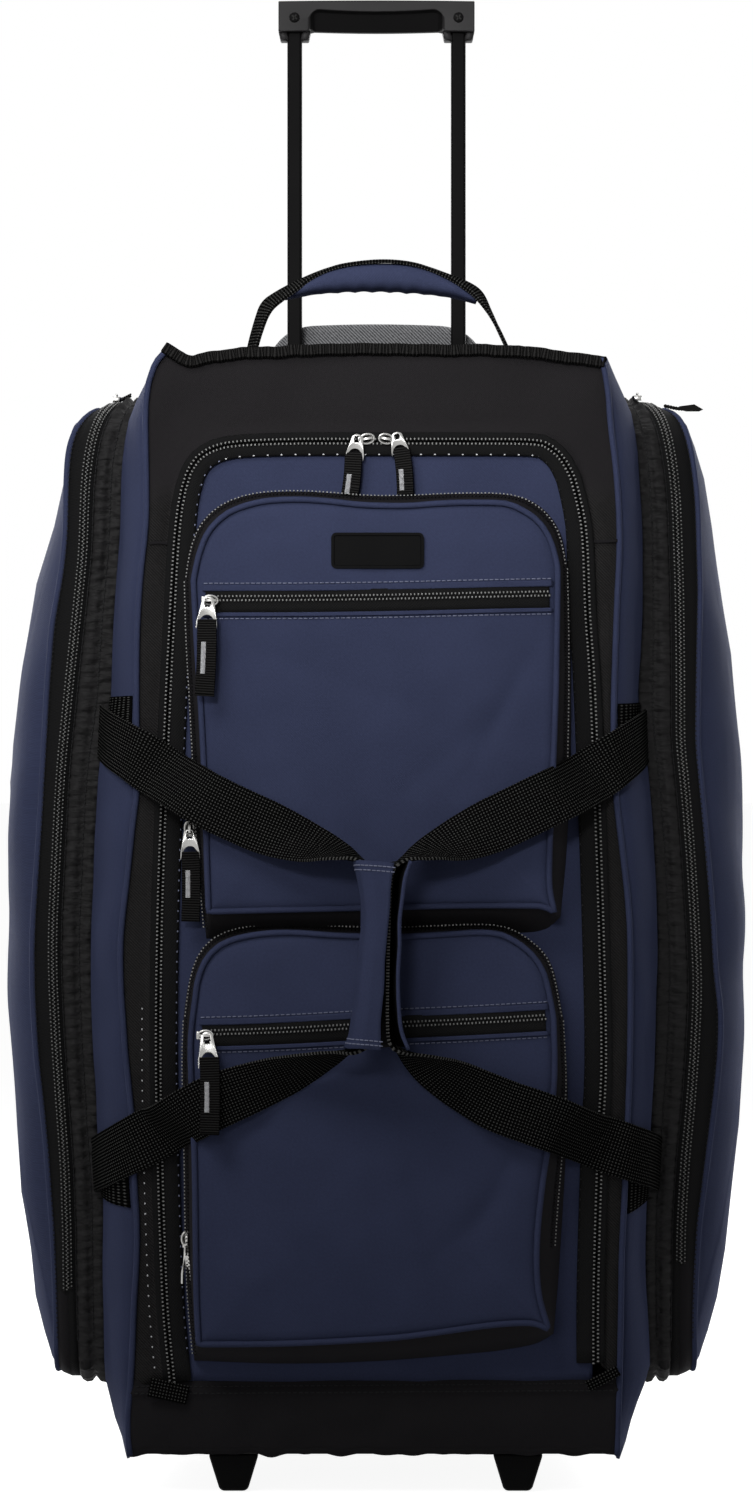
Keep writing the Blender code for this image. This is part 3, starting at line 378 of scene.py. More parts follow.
finishes["panelCloth"] = panelCloth("panelCloth", panelLook)
strapLook = {"pitch": 0.0022, "dark": (0.0036, 0.0036, 0.0036), "light": (0.078, 0.078, 0.075), "depth": 0.0008}
finishes["webbing"] = webbing("webbing", strapLook)
# dark and light of the ruched band: painted shade in the folds' hollows and painted highlight on their ridges
ruchedLook = {
    "fold": 0.0042, "reach": 0.012, "depth": 0.0022, "dark": (0.0040, 0.0038, 0.0040),
    "light": (0.0172, 0.0166, 0.0172),
}
finishes["ruchedCloth"] = ruchedCloth("ruchedCloth", ruchedLook)
grosgrainLook = {"rib": 0.0017, "dark": (0.0050, 0.0049, 0.0049), "light": (0.034, 0.033, 0.0325)}
finishes["grosgrain"] = ribbedTape("grosgrain", grosgrainLook)
heatherLook = {"pitch": 0.0026, "dark": (0.045, 0.046, 0.049), "light": (0.26, 0.262, 0.272)}
finishes["heather"] = heatherTwill("heather", heatherLook)
print("finishes:", len(finishes))

# mesh tools
clothWall, tapeWall = 0.0016, 0.0012  # thickness of sewn cloth and of zip tape


def addPiece(name, bm, finish, body=None, replaces=(), sharp=None, wall=0.0, lining=None, more=()):
    mesh = bpy.data.meshes.new(name)
    bm.to_mesh(mesh)
    bm.free()
    mesh.shade_smooth()
    if sharp:
        mesh.set_sharp_from_angle(angle=math.radians(sharp))
    obj = bpy.data.objects.new(name, mesh)
    bpy.context.collection.objects.link(obj)
    for key in (finish, *more):
        mesh.materials.append(finishes[key])
    if wall:
        solid = obj.modifiers.new("wall", "SOLIDIFY")
        solid.thickness = wall
        solid.offset = -1
        if lining:
            mesh.materials.append(finishes[lining])
            solid.material_offset = 1 + len(more)
    if body:
        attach(obj, body)
    if replaces:
        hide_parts(*replaces)
    return obj


def easeEdges(piece, width, angle):
    soft = piece.modifiers.new("edges", "BEVEL")
    soft.width, soft.segments, soft.limit_method, soft.angle_limit = width, 2, "ANGLE", math.radians(angle)


def bevelAll(bm, geom, offset, segments=1, affect="EDGES"):
    bmesh.ops.bevel(bm, geom=geom, offset=offset, segments=segments, profile=0.5, affect=affect, material=-1)


def moveAll(bm, by):
    bmesh.ops.translate(bm, vec=by, verts=bm.verts)


def turnAll(bm, angle, axis):
    bmesh.ops.rotate(bm, cent=(0, 0, 0), matrix=Matrix.Rotation(angle, 3, axis), verts=bm.verts)


def only(kind, geom):
    # the vertices, edges or faces among what an operator made
    return [item for item in geom if isinstance(item, kind)]


def closeEnds(bm):
    bmesh.ops.holes_fill(bm, edges=[edge for edge in bm.edges if edge.is_boundary])
    bmesh.ops.recalc_face_normals(bm, faces=bm.faces)


def mapWeave(bm, place):
    # the piece's own map in metres, which its weave follows
    weave = bm.loops.layers.uv.new("weave")
    for face in bm.faces:
        for loop in face.loops:
            loop[weave].uv = place(loop.vert)


def joined(meshes):
    # several bmeshes as one
    whole = bmesh.new()
    for bm in meshes:
        part = bpy.data.meshes.new("part")
        bm.to_mesh(part)
        bm.free()
        whole.from_mesh(part)
        bpy.data.meshes.remove(part)
    return whole


def clothGrid(columns, rows, place, size):
    # a sheet from a grid, with a weave map of its size in metres
    bm = bmesh.new()
    bmesh.ops.create_grid(bm, x_segments=columns, y_segments=rows, size=0.5)
    mapWeave(bm, lambda vert: ((vert.co.x + 0.5) * size[0], (vert.co.y + 0.5) * size[1]))
    for vert in bm.verts:
        vert.co = place(vert.co.x + 0.5, vert.co.y + 0.5)
    return bm


def framesAlong(path, facing, closed=False):
    # one placement for each point: x across, y out of the face, z along the path
    frames = []
    for i, point in enumerate(path):
        if closed:
            run = path[(i + 1) % len(path)] - path[i - 1]
        else:
            run = path[min(i + 1, len(path) - 1)] - path[max(i - 1, 0)]
        run.normalize()
        out = facing[i] if isinstance(facing, list) else Vector(facing)
        across = out.cross(run).normalized()
        place = Matrix((across, run.cross(across), run)).transposed().to_4x4()
        place.translation = point
        frames.append(place)
    return frames


def flatSection(width, thick):
    # a flat strap's section with rounded edges
    half, edge = width / 2, thick / 2
    upper = [(-half + edge * 0.4, edge), (-half * 0.5, edge), (0, edge), (half * 0.5, edge)]
    upper += [(half - edge * 0.4, edge), (half, 0)]
    return upper + [(-x, -z) for x, z in upper]


def roundSection(radius, sides):
    angles = [math.tau * i / sides for i in range(sides)][::-1]
    return [(radius * math.cos(angle), radius * math.sin(angle)) for angle in angles]


def sweep(section, frames, closed=False):
    # carries a section along the frames, and gives it a weave map: across and along in metres
    bm = bmesh.new()
    acrossKey = bm.verts.layers.float.new("across")
    alongKey = bm.verts.layers.float.new("along")
    ring = [bm.verts.new((x, y, 0)) for x, y in section]
    for vert, (x, _) in zip(ring, section):
        vert[acrossKey] = x
    edges = [bm.edges.new(pair) for pair in zip(ring, ring[1:] + ring[:1])]
    bmesh.ops.transform(bm, matrix=frames[0], verts=ring)
    first, along = list(edges), 0.0
    for before, after in zip(frames, frames[1:]):
        made = bmesh.ops.extrude_edge_only(bm, edges=edges)["geom"]
        ring = only(BMVert, made)
        edges = only(BMEdge, made)
        bmesh.ops.transform(bm, matrix=after @ before.inverted(), verts=ring)
        along += (after.translation - before.translation).length
        for vert in ring:
            vert[alongKey] = along
    if closed:
        bmesh.ops.bridge_loops(bm, edges=first + edges)
    else:
        bmesh.ops.contextual_create(bm, geom=first)
        bmesh.ops.contextual_create(bm, geom=edges)
    bmesh.ops.recalc_face_normals(bm, faces=bm.faces)
    mapWeave(bm, lambda vert: (vert[acrossKey], vert[alongKey]))
    return bm


def ribbon(width, thick, line, facing=forward):
    return sweep(flatSection(width, thick), framesAlong(line, facing))


def roundCord(radius, line, facing=forward, closed=False, sides=8):
    return sweep(roundSection(radius, sides), framesAlong(line, facing, closed), closed)


def stamp(shape, placements):
    # the same small shape at every placement
    mesh = bpy.data.meshes.new("stamp")
    shape.to_mesh(mesh)
    shape.free()
    whole = bmesh.new()
    for place in placements:
        mesh.transform(place)
        whole.from_mesh(mesh)
        mesh.transform(place.inverted())
    bpy.data.meshes.remove(mesh)
    return whole


def block(width, depth, height, bevel, segments=1, centre=(0, 0, 0)):
    bm = bmesh.new()
    bmesh.ops.create_cube(bm, size=1.0)
    bmesh.ops.scale(bm, vec=(width, depth, height), verts=bm.verts)
    bevelAll(bm, bm.edges[:] + bm.verts[:], bevel, segments)
    moveAll(bm, centre)
    return bm


def zipCoil(line, facing, size, side, shift):
    # one half of a coil zip along a line: slanted strokes, and rows of bends on them whose light grey is painted
    # highlight
    reach, thick, pitch = size["reach"], size["thick"], size["pitch"]
    count = max(int(lineLength(line) / pitch), 2)
    spots = evenly(line, 2 * count + 1)
    if isinstance(facing, list):
        facing = [facing[min(int(i * len(facing) / len(spots)), len(facing) - 1)] for i in range(len(spots))]
    seats = framesAlong(spots, facing)[shift::2]
    slant = Matrix.Rotation(side * 0.42, 4, "Y")
    strokes = [seat @ Matrix.Translation((side * reach * 0.52, 0, 0)) @ slant for seat in seats]
    glintBends = [
        seat @ Matrix.Translation((side * across, thick * (0.35 - 0.15 * k), pitch * 0.4 * k))
        for k, across in enumerate(size["rows"]) for seat in seats
    ]
    stroke = block(reach, thick, pitch * 0.36, thick * 0.25)
    bend = block(size["dot"][0], thick * 0.8, size["dot"][1], thick * 0.15)
    return stamp(stroke, strokes), stamp(bend, glintBends)


def bothHalves(line, facing, size):
    halves = [zipCoil(line, facing, size, half, int(half > 0)) for half in (-1, 1)]
    return [strokes for strokes, _ in halves], [glintBends for _, glintBends in halves]


def ringShare(sides, s, t):
    # the place of a square grid's point inside four edge lines, as rings round the middle
    ring = max(abs(s), abs(t))
    if ring < 1e-6:
        return None, 0.0
    a, b = s / ring, t / ring
    if b > 0.99999:
        side, share = 0, (a + 1) / 2
    elif a > 0.99999:
        side, share = 1, (1 - b) / 2
    elif b < -0.99999:
        side, share = 2, (1 - a) / 2
    else:
        side, share = 3, (b + 1) / 2
    line = sides[side]
    spot = share * (len(line) - 1)
    k = min(int(spot), len(line) - 2)
    return line[k].lerp(line[k + 1], spot - k), ring


def fourSides(outline, y, count=41):
    # top, right, bottom and left lines that meet at the corners
    return [smoothLine(seenLine(outline[key], y), count) for key in ("top", "right", "bottom", "left")]


def puffGrid(sides, count, depth, walls=()):
    # a panel of shrinking rings inside four edge lines; each wall step goes back from its edge to other lines
    middle = sum((line[len(line) // 2] for line in sides), Vector()) / 4
    bm = bmesh.new()
    bmesh.ops.create_grid(bm, x_segments=count, y_segments=count, size=1.0)
    sKey, tKey = bm.verts.layers.float.new("s"), bm.verts.layers.float.new("t")
    backKey = bm.verts.layers.float.new("back")
    for vert in bm.verts:
        vert[sKey], vert[tKey] = vert.co.x, vert.co.y
        edge, ring = ringShare(sides, vert.co.x, vert.co.y)
        spot = middle.copy() if edge is None else middle.lerp(edge, ring)
        vert.co = (spot.x, depth(spot.x, spot.z, ring), spot.z)
    face = set(bm.faces)
    edges = [edge for edge in bm.edges if edge.is_boundary]
    run = 0.0
    for lines, y in walls:
        made = bmesh.ops.extrude_edge_only(bm, edges=edges)["geom"]
        edges = only(BMEdge, made)
        run += 0.01
        for vert in only(BMVert, made):
            spot, _ = ringShare(lines, vert[sKey], vert[tKey])
            vert.co = (spot.x, y(spot.x, spot.z) if callable(y) else y, spot.z)
            vert[backKey] = run
    weave = bm.loops.layers.uv.new("weave")
    for item in bm.faces:
        for loop in item.loops:
            co = loop.vert.co
            if item in face:
                loop[weave].uv = (co.x, co.z)
            else:
                loop[weave].uv = (co.x + co.z, co.y)
        item.material_index = 0 if item in face else 1
    return bm


def onto(bm):
    # finds the point of a front surface behind a place, with a small lift off it
    tree = BVHTree.FromBMesh(bm)

    def touch(x, z, lift=0.0):
        spot = tree.ray_cast(Vector((x, -1.0, z)), Vector((0, 1, 0)))[0]
        if spot is None:
            spot = tree.find_nearest(Vector((x, frontY, z)))[0]
        return Vector((x, spot.y - lift, z))

    return touch


def skinLoops(loops, cap=True, finishOf=None):
    # a skin over closed lines of equally many points; each ring of faces may have its own finish
    bm = bmesh.new()
    aroundKey, outKey = bm.verts.layers.float.new("around"), bm.verts.layers.float.new("out")
    indexKey = bm.verts.layers.int.new("index")
    ring = [bm.verts.new(point) for point in loops[0]]
    step = lineLength(loops[0]) / len(ring)
    for i, vert in enumerate(ring):
        vert[indexKey], vert[aroundKey] = i, i * step
    edges = [bm.edges.new(pair) for pair in zip(ring, ring[1:] + ring[:1])]
    run = 0.0
    for k, (before, after) in enumerate(zip(loops, loops[1:])):
        made = bmesh.ops.extrude_edge_only(bm, edges=edges)["geom"]
        edges = only(BMEdge, made)
        run += (after[0] - before[0]).length
        for face in only(BMFace, made):
            face.material_index = finishOf[min(k, len(finishOf) - 1)] if finishOf else 0
        for vert in only(BMVert, made):
            vert.co = after[vert[indexKey]]
            vert[outKey] = run
    if cap:
        bmesh.ops.contextual_create(bm, geom=edges)
    bmesh.ops.recalc_face_normals(bm, faces=bm.faces)
    mapWeave(bm, lambda vert: (vert[aroundKey], vert[outKey]))
    return bm


print("mesh tools ready")

# the body: one navy shell over the sides and top, the black front around the zip, and the base


def archLine(look, keys, y, counts):
    # left side up, top across and right side down as one line
    line = []
    for key, count in zip(keys, counts):
        part = smoothLine(seenLine(look[key], y), count + 1)
        line += part if not line else part[1:]
    return line


archCounts = (56, 44, 56)
bodyLook = {
    "left": [(129, 1457), (127, 1425), (130, 1385), (131.5, 1358), (133.5, 1304), (136, 1264), (136.5, 1224),
             (134, 1184), (131.3, 1117), (128.6, 1090), (125, 1055), (122.5, 1018), (120.5, 990), (119.8, 951),
             (121.5, 923), (127, 875), (132, 827), (136.5, 789), (136.5, 740), (136, 700), (137, 624), (141, 566),
             (146, 513), (145, 411), (149, 378), (157, 358), (168, 347)],
    "top": [(168, 347), (178, 352), (191, 357), (215, 352), (252, 349), (315, 346), (378, 345), (450, 346),
            (512, 347), (560, 352), (602, 357)],
    "right": [(602, 357), (608, 385), (611, 424), (617, 475), (620, 539), (617, 615), (614, 717), (616, 790),
              (623, 852), (629.5, 914), (631, 975), (630.5, 1053), (628.8, 1107), (625.5, 1187), (622.3, 1254),
              (621.5, 1308), (620.2, 1375), (618.8, 1418), (618, 1457)],
    "flareLeft": [(125.4, 1456), (123, 1446), (119, 1428), (112.5, 1412), (108.5, 1390), (104.5, 1376), (103, 1345),
                  (102.3, 1291), (102.3, 1200), (99.7, 1170), (96.4, 1130), (95, 1090), (92.4, 1050), (91, 990),
                  (90, 951), (91, 913), (92.8, 875), (94.7, 817), (96.6, 789), (99.5, 760), (105, 735), (111, 697),
                  (113, 615), (119, 539), (122, 462), (126, 432), (132, 409), (142, 392), (150, 370), (165, 350)],
    "flareTop": [(165, 350), (191, 356), (252, 353), (378, 352), (512, 353), (575, 356), (606, 360)],
    "flareRight": [(606, 360), (613, 375), (622, 392), (631, 410), (636, 436), (639, 462), (643, 539), (642, 641),
                   (639, 702), (643, 735), (649, 770), (651, 800), (655, 852), (657.4, 914), (658, 975),
                   (655.5, 1053), (652.3, 1107), (650.2, 1147), (647, 1201), (646.4, 1268), (648.3, 1321),
                   (650.2, 1371), (643, 1386), (636.3, 1404), (630.9, 1418), (624, 1440), (617, 1457)],
    "rearSide": [(0.170, 0.0274), (0.181, 0.052), (0.190, 0.082), (0.187, 0.200), (0.183, 0.350), (0.1775, 0.550),
                 (0.1730, 0.730), (0.168, 0.764), (0.155, 0.782), (0.138, 0.7874)],
    "flareShare": 0.26, "topSag": 0.006, "rows": 26,
}
flareY, rearY = sideFrontY - 0.001, backY - 0.0045
frontLine = archLine(bodyLook, ("left", "top", "right"), frontY + 0.001, archCounts)
flareLine = archLine(bodyLook, ("flareLeft", "flareTop", "flareRight"), flareY, archCounts)
rearLeft = [Vector((-x, rearY, z)) for x, z in bodyLook["rearSide"]]
rearRight = [Vector((x, rearY, z)) for x, z in bodyLook["rearSide"]][::-1]
rearLine = smoothLine(rearLeft, archCounts[0] + 1)
rearLine += smoothLine([rearLeft[-1], Vector((0, rearY, topZ)), rearRight[0]], archCounts[1] + 1)[1:]
rearLine += smoothLine(rearRight, archCounts[2] + 1)[1:]
archSteps = sum(archCounts)


def shellPoint(u, v):
    i = round(u * archSteps)
    onTop = within((i - archCounts[0]) / archCounts[1])
    if v < bodyLook["flareShare"]:
        t = v / bodyLook["flareShare"]
        spot = frontLine[i].lerp(flareLine[i], math.sin(t * math.pi / 2))
        spot.y = frontLine[i].y + (flareY - frontLine[i].y) * (1 - math.cos(t * math.pi / 2)) ** 0.8
    else:
        t = (v - bodyLook["flareShare"]) / (1 - bodyLook["flareShare"])
        spot = flareLine[i].lerp(rearLine[i], t)
    sag = math.sin(math.pi * v) * math.sin(math.pi * onTop)
    spot.z -= bodyLook["topSag"] * sag
    spot.z += ripple(spot.x, spot.y, 0.05, 0.003, 3.0) * sag
    side = math.sin(math.pi * min(v / bodyLook["flareShare"], 1.0))
    spot.x += ripple(spot.y, spot.z, 0.045, 0.003, 7.0) * side * (1 - math.sin(math.pi * onTop))
    return spot


def onGusset(side, z, v):
    # the point of the shell's left or right side at this height
    low, high = (0.0, archCounts[0]) if side < 0 else (archSteps, archSteps - archCounts[2])
    for _ in range(24):
        middle = (low + high) / 2
        k = min(int(middle), archSteps - 1)
        spot = shellPoint(k / archSteps, v).lerp(shellPoint((k + 1) / archSteps, v), middle - k)
        low, high = (middle, high) if spot.z < z else (low, middle)
    return spot


shell = clothGrid(archSteps, bodyLook["rows"], shellPoint, (2.0, 0.29))
weave = shell.loops.layers.uv["weave"]
for face in shell.faces:
    along = sum(loop[weave].uv.x for loop in face.loops) / 4 / 2.0 * archSteps
    face.material_index = int(archCounts[0] < along < archCounts[0] + archCounts[1])  # the top panel is black
addPiece(
    "bodyShell", shell, "navyCloth", "bag", ("side_gusset_left", "side_gusset_right", "top_panel"),
    wall=clothWall, lining="liningCloth", more=("blackCloth",),
)

zipLook = {
    "left": [(172, 1383), (166, 1320), (163, 1262), (160, 1168), (158, 1050), (160, 900), (167, 717), (172, 615),
             (176, 544), (181, 500), (188, 474)],
    "top": [(188, 474), (197, 459), (214, 448), (241, 443), (300, 441), (378, 441), (460, 441), (535, 442),
            (553, 449), (565, 462), (573, 478)],
    "right": [(573, 478), (580, 505), (585, 539), (588, 615), (593, 692), (600, 880), (604, 1050), (601, 1130),
              (598, 1215), (596, 1300), (596, 1364)],
    "outHalf": 0.0062, "inHalf": 0.0132, "topHalf": 0.0098, "lift": 0.0012,
    "coil": {"reach": 0.0024, "thick": 0.0012, "pitch": 0.0027, "rows": (0.0016,), "dot": (0.0014, 0.0010)},
}
zipLine = archLine(zipLook, ("left", "top", "right"), frontY, archCounts)
zipFrames = framesAlong(zipLine, forward)


def besideZip(i, off, y):
    # a point beside the zip's middle line: positive is outward
    spot = zipFrames[i] @ Vector((off, 0, 0))
    spot.y = y
    return spot


def tapeHalf(i, sign):
    # the tape's width beside the coil: narrow outside, and wider down the flap's sides than across its top
    if sign > 0:
        return zipLook["outHalf"]
    fromLeft, fromRight = i - archCounts[0], archSteps - archCounts[2] - i
    onTop = within((fromLeft + 6) / 12) * within((fromRight + 6) / 12)
    return zipLook["inHalf"] + (zipLook["topHalf"] - zipLook["inHalf"]) * onTop


frameLook = {"inner": 0.0038, "rows": 14, "puff": 0.0010, "fold": 0.0040, "foldReach": 0.004}
panelOuter = [point.copy() for point in frontLine]
lowest = zipLine[0].z
for point in panelOuter:
    point.z = max(point.z, lowest - 0.004)


def panelPoint(u, v):
    i = round(u * archSteps)
    inner = besideZip(i, frameLook["inner"], frontY)
    spot = inner.lerp(panelOuter[i], v)
    puff = math.sin(math.pi * within(v))
    spot.y = frontY - frameLook["puff"] * puff + ripple(spot.x, spot.z, 0.035, 0.0016, 1.0) * puff + 0.001 * v
    spot.y += ripple(spot.x, spot.z, 0.07, 0.005, 6.0) * puff * (spot.z > 0.6)
    away = v * (panelOuter[i] - inner).length / frameLook["foldReach"]
    spot.y -= frameLook["fold"] * math.exp(-(away ** 2))  # a fold over the tape
    return spot


panel = clothGrid(archSteps, frameLook["rows"], panelPoint, (2.0, 0.03))
addPiece("frontPanel", panel, "panelCloth", "bag", ("front_frame",), wall=clothWall, lining="liningCloth")

baseLook = {
    "left": [(130, 1382), (127.5, 1422), (129, 1457)], "right": [(619, 1378), (619, 1420), (618, 1457)],
    "columns": 120, "rows": 24, "size": (0.336, 0.051), "bulge": 0.0035, "ridge": 0.0022, "ridgeAt": 0.84,
}
baseLeft, baseRight = (smoothLine(seenLine(baseLook[key], frontY), baseLook["rows"] + 1) for key in ("left", "right"))


def basePoint(u, v):
    row = round((1 - v) * baseLook["rows"])
    spot = baseLeft[row].lerp(baseRight[row], u)
    bulge = math.sin(math.pi * v) * (math.sin(math.pi * u) ** 0.3)
    spot.y = frontY - 0.0005 - baseLook["bulge"] * bulge + ripple(spot.x, spot.z, 0.03, 0.003, 2.0) * bulge
    spot.y -= baseLook["ridge"] * math.exp(-(((v - baseLook["ridgeAt"]) / 0.05) ** 2))  # under the double seam
    spot.z += ripple(spot.x, 0.0, 0.016, 0.0036, 8.0) * max(0.25 - v, 0.0) * 4
    if v < 0.05:
        spot.y += 0.003
    return spot


base = clothGrid(baseLook["columns"], baseLook["rows"], basePoint, baseLook["size"])
addPiece("basePanel", base, "blackCloth", "bag", ("base_panel",), wall=clothWall, lining="liningCloth")
print("body built")

# the flap inside the zip
flapLook = {
    "top": [(181, 500), (187, 480), (197, 463), (214, 452), (241, 447), (300, 445), (378, 445), (460, 445),
            (532, 446), (550, 453), (562, 466), (570, 482), (577, 504)],
    "right": [(577, 504), (582, 540), (585, 615), (590, 692), (597, 880), (601, 1050), (598, 1130), (595, 1215),
              (593, 1300), (593, 1382)],
    "bottom": [(593, 1382), (480, 1383), (378, 1383), (270, 1383), (175, 1382)],
    "left": [(175, 1382), (169, 1320), (166, 1262), (163, 1168), (161, 1050), (163, 900), (170, 717), (175, 615),
             (178, 544), (181, 500)],
    "creases": [
        (-0.12, 0.46, -0.05, 0.40, 0.006, 0.0022), (0.13, 0.44, 0.10, 0.40, 0.006, 0.002),
        (-0.135, 0.30, -0.13, 0.15, 0.005, 0.0018), (0.135, 0.62, 0.14, 0.45, 0.005, 0.0018),
    ],
    "lift": 0.0008, "crown": 0.0022, "grid": 96,
}
flapSides = fourSides(flapLook, frontY)


def flapDepth(x, z, ring):
    swell = 1 - ring ** 4
    y = frontY - flapLook["lift"] - flapLook["crown"] * swell + ripple(x, z, 0.04, 0.0022, 5.0) * swell
    return y + creaseDepth(flapLook["creases"], x, z)


flap = puffGrid(flapSides, flapLook["grid"], flapDepth)
onFlap = onto(flap)
addPiece("mainFlap", flap, "navyCloth", "flap", ("main_flap",), wall=clothWall, lining="liningCloth")

# the U zip: a tape and a row of teeth on the body and on the flap
for side, body, node, sign in (("Frame", "bag", "zip_tape_frame", 1), ("Flap", "flap", "zip_tape_flap", -1)):
    lift = zipLook["lift"]

    def tapePoint(u, v):
        i = round(u * archSteps)
        far = tapeHalf(i, sign)
        off = 0.0004 + (far - 0.0004) * (v if sign > 0 else 1 - v)
        hump = 0.0010 * math.sin(math.pi * min(off / far, 1.0))
        spot = besideZip(i, sign * off, frontY - lift - 0.0022 - hump)
        if sign < 0:
            spot.y = min(spot.y, onFlap(spot.x, spot.z, 0.0022).y)
        return spot

    tape = clothGrid(archSteps, 6, tapePoint, (1.5, zipLook["inHalf"]))
    addPiece("zipTape" + side, tape, "tapeCloth", body, (node,), wall=tapeWall)
    line = shifted(zipLine, 0, -lift - 0.0034, 0)
    strokes, glintBends = zipCoil(line, forward, zipLook["coil"], sign, int(sign > 0))
    addPiece("zipCoil" + side, strokes, "coil", body, sharp=50)
    addPiece("zipGlintBends" + side, glintBends, "teeth", body, sharp=50)
print("flap and main zip built")

# the two front pockets: a navy face in piping, black walls with a gusset zip, and a slash zip across
pocketLook = {
    "upper": {
        "face": {
            "top": [(193, 580), (198, 556), (208, 531), (228, 512), (256, 502), (282, 499), (308, 499), (333, 501),
                    (359, 504), (384, 505), (410, 505), (435, 503), (461, 502), (486, 502), (507, 503), (522, 509),
                    (537, 519), (547, 532), (554, 549), (558, 567)],
            "right": [(558, 567), (558, 590), (557, 650), (556, 700), (553, 780), (550, 850), (550, 888), (555, 913)],
            "bottom": [(555, 913), (544, 907), (520, 906), (460, 906), (376, 908), (290, 910), (208, 912)],
            "left": [(208, 912), (206, 850), (204, 780), (200, 700), (196, 640), (193, 580)],
        },
        "base": {
            "top": [(184, 580), (188, 552), (198, 526), (218, 506), (250, 494), (300, 491), (378, 495), (460, 493),
                    (508, 494), (538, 504), (560, 530), (568, 567)],
            "right": [(568, 567), (571, 650), (571, 760), (567, 850), (561, 917)],
            "bottom": [(561, 917), (545, 930), (510, 934), (460, 935), (376, 938), (290, 939), (206, 939)],
            "left": [(206, 939), (196, 850), (192, 780), (188, 700), (185, 640), (184, 580)],
        },
        "slash": [(199, 601), (290, 601), (378, 600), (470, 598), (556, 596)],
        "creases": [
            (-0.115, 0.600, -0.06, 0.50, 0.007, 0.003), (-0.09, 0.585, 0.02, 0.54, 0.008, 0.0022),
            (0.115, 0.595, 0.06, 0.49, 0.007, 0.003), (0.10, 0.55, 0.00, 0.47, 0.009, 0.0022),
            (-0.11, 0.50, -0.10, 0.42, 0.006, 0.002), (0.105, 0.47, 0.11, 0.42, 0.006, 0.002),
            (-0.05, 0.47, 0.03, 0.42, 0.008, 0.0022), (-0.10, 0.655, -0.04, 0.665, 0.006, 0.002),
        ],
        "seed": 11.0, "zipShare": 0.62, "nodes": ("upper_pocket", "upper_pocket_zip"),
    },
    "lower": {
        "face": {
            "top": [(192, 1020), (195, 997), (198, 978), (207, 958), (223, 944), (250, 936), (288, 933), (336, 936),
                    (376, 937), (408, 937), (445, 935), (480, 933), (504, 936), (528, 951), (543, 971), (550, 997),
                    (554, 1020)],
            "right": [(554, 1020), (555, 1060), (554, 1090), (550, 1136), (543, 1184), (538, 1232), (537, 1270),
                      (540, 1300), (549, 1331)],
            "bottom": [(549, 1331), (535, 1325), (510, 1325), (480, 1328), (430, 1335), (384, 1340), (288, 1345),
                       (198, 1346)],
            "left": [(198, 1346), (196, 1300), (195, 1232), (194, 1160), (192, 1112), (190, 1050), (192, 1020)],
        },
        "base": {
            "top": [(183, 1020), (187, 990), (196, 958), (215, 937), (248, 927), (300, 925), (378, 928), (450, 926),
                    (500, 927), (530, 940), (552, 965), (564, 1020)],
            "right": [(564, 1020), (568, 1090), (566, 1160), (562, 1230), (558, 1290), (554, 1335)],
            "bottom": [(554, 1335), (536, 1345), (505, 1351), (480, 1354), (384, 1362), (288, 1365), (194, 1362)],
            "left": [(194, 1362), (187, 1300), (184, 1230), (183, 1150), (182, 1080), (183, 1020)],
        },
        "slash": [(196, 1037), (280, 1034), (376, 1029), (470, 1025), (552, 1021)],
        "creases": [
            (-0.11, 0.29, -0.03, 0.22, 0.007, 0.003), (-0.08, 0.30, 0.06, 0.26, 0.009, 0.0025),
            (0.115, 0.28, 0.06, 0.17, 0.007, 0.003), (0.10, 0.22, 0.02, 0.15, 0.009, 0.0025),
            (-0.115, 0.23, -0.10, 0.13, 0.006, 0.0022), (-0.06, 0.19, -0.02, 0.11, 0.007, 0.0022),
            (0.02, 0.24, 0.05, 0.12, 0.007, 0.002),
        ],
        "seed": 23.0, "zipShare": 0.74, "nodes": ("lower_pocket", "lower_pocket_zip"),
    },
    "edge": 0.006, "crown": 0.0085, "groove": 0.0024, "grooveReach": 0.022, "piping": 0.0021, "grid": 88,
    "lip": 0.10, "waist": 0.62, "waistDepth": 0.55,  # shares of the way from the face to the flap
    "slashHalf": 0.0082, "slashRaise": 0.0022, "weltThick": 0.0022,
    "coil": {"reach": 0.0026, "thick": 0.0011, "pitch": 0.0025, "rows": (0.0014,), "dot": (0.0013, 0.0010)},
    "gussetCoil": {"reach": 0.0016, "thick": 0.0009, "pitch": 0.0025, "rows": (0.0013,), "dot": (0.0010, 0.0011)},
}
edgeY = pocketY + pocketLook["edge"]
onPocket, pocketPaths = {}, {}
